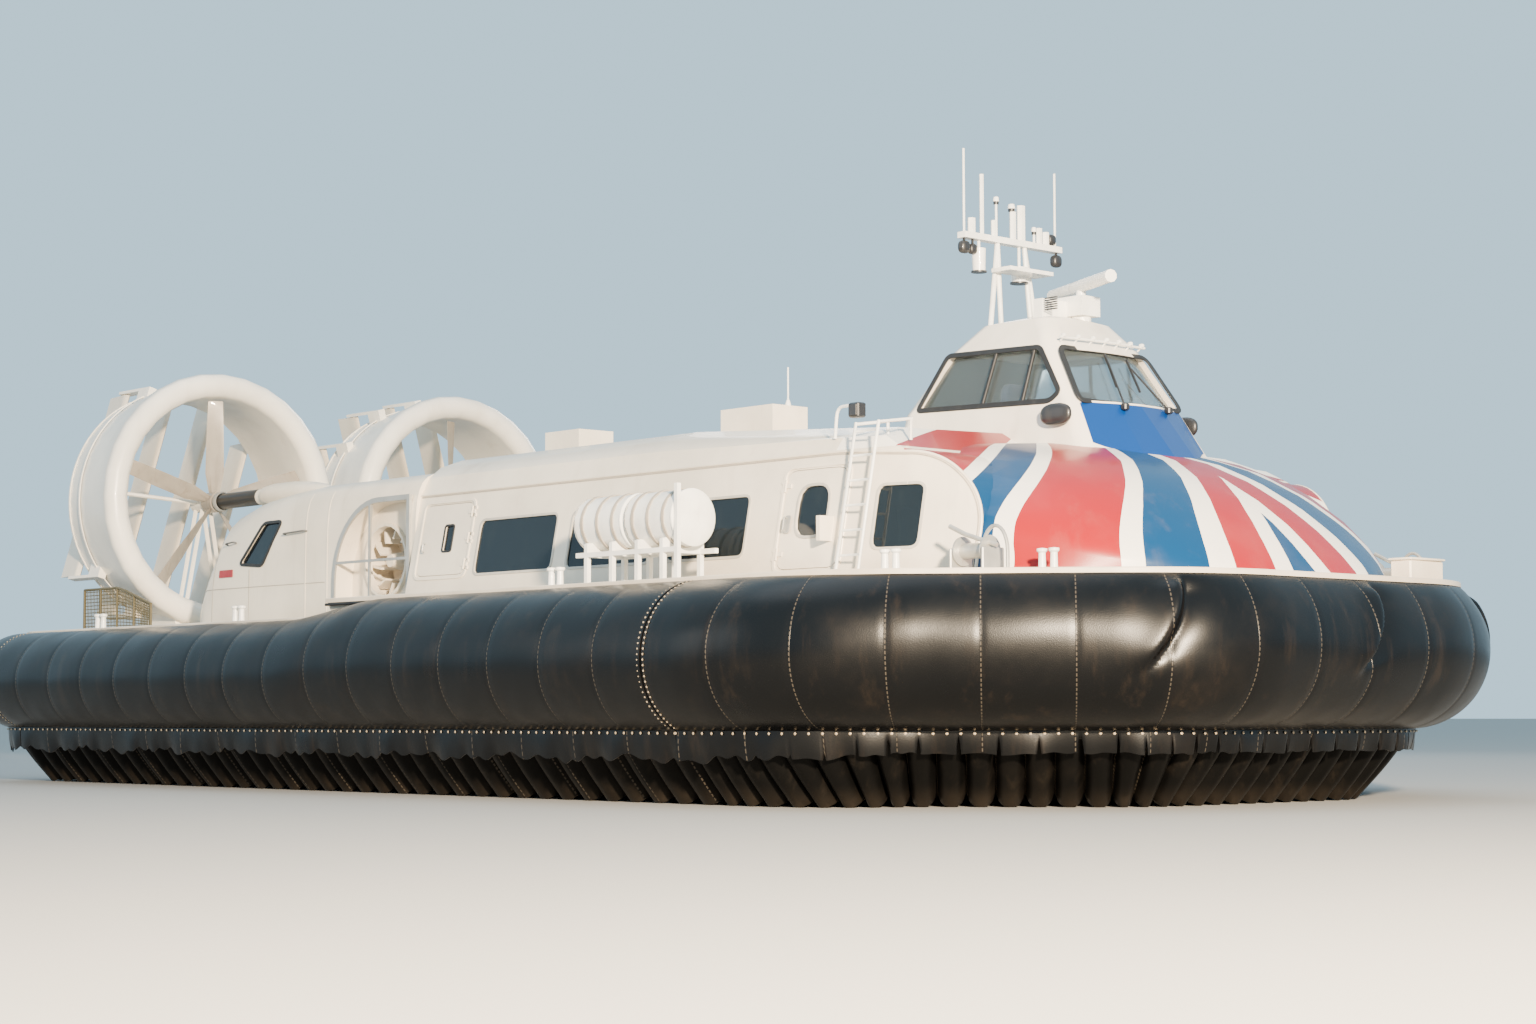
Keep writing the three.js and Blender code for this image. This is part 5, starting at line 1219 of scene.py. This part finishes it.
def beads(points, away, radius, thick):
    # washers: a six-sided ring and two flat cones each, set at points and facing away
    angle = np.linspace(0, 2 * np.pi, 6, endpoint=False)
    one = unit(np.cross(away, [0.0, 0.0, 1.0]))
    two = np.cross(one, away)
    rim = points[:, None] + radius * (np.cos(angle)[:, None] * one[:, None] + np.sin(angle)[:, None] * two[:, None])
    whole = np.concatenate([rim, (points + away * thick)[:, None], (points - away * thick)[:, None]], 1)
    faces = []
    for base in range(0, 8 * len(points), 8):
        faces += [(base + i, base + (i + 1) % 6, base + 6) for i in range(6)]
        faces += [(base + (i + 1) % 6, base + i, base + 7) for i in range(6)]
    return whole.reshape(-1, 3), faces


def makeWashers(c):
    parts = []
    seamOut = lambda rows: tucked(bag, "seamOut", tuckShare(rows)) + c["out"]
    rows = []
    for kind in stretches:
        part = stretchOf(kind)
        length = walked(part, seamOut(part), 2)[2]
        rows.append(walked(part, seamOut(part), int(length / c["step"]))[0])
    rows = np.vstack(rows)
    points = np.column_stack([rows[:, :2] + rows[:, 2:] * seamOut(rows)[:, None],
                              np.full(len(rows), bag["seamZ"] - c["drop"])])
    parts.append(beads(points, np.column_stack([rows[:, 2:], np.zeros(len(rows))]), c["radius"], c["thick"]))
    # laced joints where the side bags meet the bow and stern bags
    for x in (bag["bowX"], bag["sternX"]):
        top = np.array([bag["topZ"] if x > 0 else bag["aftTopZ"]])
        arc, away, _ = bagArc(top, 0.0, np.linspace(*c["laceRange"], c["laces"]))
        (out, z), (outWay, upWay) = arc[0].T, away[0].T
        for sign in (-1, 1):
            for apart in (-c["laceApart"], c["laceApart"]):
                points = np.stack([np.full_like(z, x + apart), sign * (deck["halfWidth"] + out), z], -1)
                ways = np.stack([np.zeros_like(z), sign * outWay, upWay], -1)
                parts.append(beads(points, ways, c["lace"], c["thick"]))
    makePiece("seamWashers", parts, "washer", slot="steel", sharp=80)


bollard = {"places": [(8.62, -4.72), (9.92, -3.50), (3.1, -5.25), (-4.6, -5.25), (-8.9, -5.2)],
           "apart": (-0.09, 0.09), "profile": [(0, 0.001), (0, 0.05), (0.02, 0.045), (0.20, 0.04), (0.22, 0.062),
                                               (0.25, 0.062), (0.26, 0.001)],
           "base": (0.19, 0.08, 0.02), "edge": 0.006}
# the stores box at the bow and its lid
bowStores = [((10.95, 1.62, 2.70), (11.25, 2.32, 2.96), 0.02), ((10.93, 1.60, 2.955), (11.27, 2.34, 2.985), 0.01)]
# the mooring winch ahead of the door: its drum along x, two cheeks, a hoop on two legs and a lever
winch = {"at": (9.30, -4.02, 2.93), "cheekX": (9.05, 9.55), "cheek": ((-0.02, -4.20, 2.70), (0.02, -3.84, 2.96)),
         "cheekEdge": 0.01,
         "drum": [(-0.22, 0.001), (-0.22, 0.17), (-0.20, 0.17), (-0.19, 0.09), (0.19, 0.09), (0.20, 0.17),
                  (0.22, 0.17), (0.22, 0.001)],
         "hoopAt": (9.62, -4.05, 2.90), "hoop": (0.19, 0.30), "legZ": (2.70, 2.91), "pipe": 0.022,
         "lever": [(8.98, -4.12, 3.22), (9.2, -4.1, 3.12), (9.62, -4.02, 2.98)], "leverPipe": 0.028}


def makeDeckGear(b, w):
    parts = []
    halfX, halfY, height = b["base"]
    for x, y in b["places"]:
        z = deck["z"] if x > deck["stepX"] else deck["aftZ"]
        parts += [lathe(b["profile"], (x + apart, y, z), 2, 14) for apart in b["apart"]]
        parts.append(softBox((x - halfX, y - halfY, z), (x + halfX, y + halfY, z + height), b["edge"]))
    bothSides("bollards", parts, "mast", slot="mast")
    makePiece("bowStores", [softBox(*row) for row in bowStores], "cabin", slot="cabin")
    parts = [lathe(w["drum"], w["at"], 0, 28)]
    parts += [softBox(*(np.add(corner, (x, 0, 0)) for corner in w["cheek"]), w["cheekEdge"]) for x in w["cheekX"]]
    angle = np.linspace(0, np.pi, 15)
    (x, y, z), (half, rise) = w["hoopAt"], w["hoop"]
    hoop = np.stack([x + half * np.cos(angle), np.full_like(angle, y), z + rise * np.sin(angle)], -1)
    parts.append(tube(hoop, w["pipe"], 10, up=(0, 1, 0)))
    parts += [tube([(x + k, y, level) for level in w["legZ"]], w["pipe"], 10) for k in (-half, half)]
    parts.append(tube(w["lever"], w["leverPipe"], 10))
    bothSides("mooringWinch", parts, "steel", slot="steel")


ladderPost = {"path": [(6.75, -3.80, 4.42), (6.79, -3.80, 4.80), (7.18, -3.86, 4.80)], "bend": 0.12, "pipe": 0.02,
              "lamp": [((7.15, -3.97, 4.63), (7.33, -3.83, 4.81), 0.015),
                       ((7.17, -3.985, 4.65), (7.31, -3.968, 4.79), 0.006)]}
whip = {"foot": (3.84, -1.9, 5.21), "tip": (3.84, -1.9, 5.74), "radius": 0.012,
        "base": [(0, 0.001), (0, 0.045), (0.03, 0.04), (0.09, 0.02), (0.10, 0.001)]}
net = {"x0": -11.30, "x1": -9.05, "y": -4.22, "z0": 2.46, "z1": 3.20, "level": 1.2, "slope": 0.30, "foot": 0.05,
       "posts": 9, "rail": 0.022, "lowRail": 0.018, "step": 0.05, "wire": 0.007, "rows": (0.08, 0.94, 12)}


def makeNets(n):
    # the top rail is level for a while and then slopes down by slope to x1
    fall = lambda x: np.clip((x - n["x0"] - n["level"]) / (n["x1"] - n["x0"] - n["level"]), 0, 1)
    top = lambda x: n["z1"] - n["slope"] * fall(x)
    at = lambda x, z: (x, n["y"], z)
    xs = np.linspace(n["x0"], n["x1"], n["posts"])
    foot = n["z0"] + n["foot"]
    frames = [tube([at(x, top(x)) for x in xs], n["rail"], 8), tube([at(x, foot) for x in xs], n["lowRail"], 8)]
    frames += [tube([at(x, n["z0"]), at(x, top(x))], n["rail"], 8) for x in xs[::2]]
    bothSides("netFrame", frames, "netting", slot="steel")
    wires = [tube([at(x, foot), at(x, top(x))], n["wire"], 4) for x in np.arange(n["x0"], n["x1"], n["step"])]
    for k in np.linspace(*n["rows"]):
        wires.append(tube([at(x, n["z0"] + k * (top(x) - n["z0"])) for x in xs], n["wire"], 4))
    bothSides("netWires", wires, "netting", slot="steel")


makeDeckEdge(edge)
makeWashers(washer)
makeDeckGear(bollard, winch)
post = tube(ladderPost["path"], ladderPost["pipe"], 10, smooth=ladderPost["bend"])
makePiece("ladderPost", [post], "mast", slot="mast")
makePiece("ladderLamp", [softBox(*row) for row in ladderPost["lamp"]], "black", slot="black")
whipParts = [tube([whip["foot"], whip["tip"]], whip["radius"], 8), lathe(whip["base"], whip["foot"], 2, 14)]
makePiece("roofWhip", whipParts, "mast", slot="mast")
makeNets(net)
print("deck gear made")

# On the pods: rails as x, x and z; grooves where panels meet; battens up the side; and a bare plate
podGear = {"rails": [(-7.16, -6.86, 3.78), (-5.32, -4.72, 3.86)], "railRise": 0.02, "rail": (0.0, 0.06, 0.014, 0.05),
           "lines": [((-8.1, 3.08), (-4.2, 3.08)), ((-6.38, 2.47), (-6.38, 3.36)), ((-7.55, 2.47), (-7.55, 3.9))],
           "line": (0.011, 0.003, -0.001), "battens": [((x, 2.47), (x, 4.45)) for x in (-4.75, -4.15)],
           "batten": (0.035, 0.006, -0.002), "plate": (rectangle(-7.33, -6.89, 3.26, 3.38), 0.02, 0.008, 0.009)}


def makePodFittings(c):
    upright = (0.02, 0.03, 1)
    rails = [barOn(onPod, [(x0, z), (x1, z + c["railRise"])], *c["rail"], upright) for x0, x1, z in c["rails"]]
    lines = [stripOn(onPod, np.linspace(*ends, 40), *c["line"]) for ends in c["lines"]]
    battens = [stripOn(onPod, np.linspace(*ends, 24), *c["batten"]) for ends in c["battens"]]
    bothSides("podPlate", [paneOn(onPod, *c["plate"])], "redPlate", slot="pod")
    bothSides("podRails", rails, "strap", slot="black")
    bothSides("podLines", lines, "seam", slot="pod")
    bothSides("podSeams", battens, "pod", slot="pod")


# On the ducts: bolts round the barrel, bands as (along, radius) at an x, and the cuff on the shaft's tube
duct = {"y": -2.463, "z": 4.715, "bolts": 48, "boltX": -11.13, "boltRing": 1.996, "bolt": (0.022, 0.02),
        "bands": [(-11.05, [(-0.03, 2.018), (-0.03, 2.034), (0.03, 2.042), (0.03, 2.024)]),
                  (-11.50, [(-0.02, 1.958), (-0.02, 1.975), (0.02, 1.978), (0.02, 1.96)])],
        "cuffX": -9.86, "cuff": [(0.0, 0.150), (0.0, 0.17), (0.06, 0.17), (0.09, 0.15)]}


def makeDuctFittings(d):
    angle = np.linspace(0, 2 * np.pi, d["bolts"], endpoint=False)
    away = np.stack([np.zeros_like(angle), np.cos(angle), np.sin(angle)], -1)
    bolts = beads(np.array([d["boltX"], d["y"], d["z"]]) + d["boltRing"] * away, away, *d["bolt"])
    bothSides("ductBolts", [bolts], "steel", slot="steel", sharp=80)
    bands = [lathe(profile, (x, d["y"], d["z"]), 0, 96, closed=True) for x, profile in d["bands"]]
    bothSides("ductBands", bands, "duct", slot="pod", closed=True)
    cuff = lathe(d["cuff"], (d["cuffX"], d["y"], d["z"]), 0, 40, closed=True)
    bothSides("shaftCuff", [cuff], "steel", slot="steel", closed=True)


# On the life raft canisters: domed ends, and bands as (along, height over the barrel)
canister = {"y": -4.96, "z": 3.48, "radius": 0.355, "spans": [(3.56, 4.46), (4.56, 5.44)], "bandIn": 0.15,
            "dome": [(0, 0.359), (0.016, 0.355), (0.045, 0.30), (0.06, 0.18), (0.064, 0.002)],
            "band": [(-0.022, -0.004), (-0.022, 0.012), (0.022, 0.009), (0.022, -0.004)]}


def makeCanisters(c):
    ends, bands = [], []
    for x0, x1 in c["spans"]:
        for x, way in ((x0, -1), (x1, 1)):
            ends.append(lathe([(way * along, radius) for along, radius in c["dome"]], (x, c["y"], c["z"]), 0, 40))
        for x in (x0 + c["bandIn"], (x0 + x1) / 2, x1 - c["bandIn"]):
            profile = [(along, c["radius"] + height) for along, height in c["band"]]
            bands.append(lathe(profile, (x, c["y"], c["z"]), 0, 40, closed=True))
    bothSides("canisterEnds", ends, "mast", slot="mast", closed=True)
    bothSides("canisterStraps", bands, "seam", slot="mast", closed=True)


makePodFittings(podGear)
makeDuctFittings(duct)
makeCanisters(canister)
print("pod, duct and life raft fittings made")
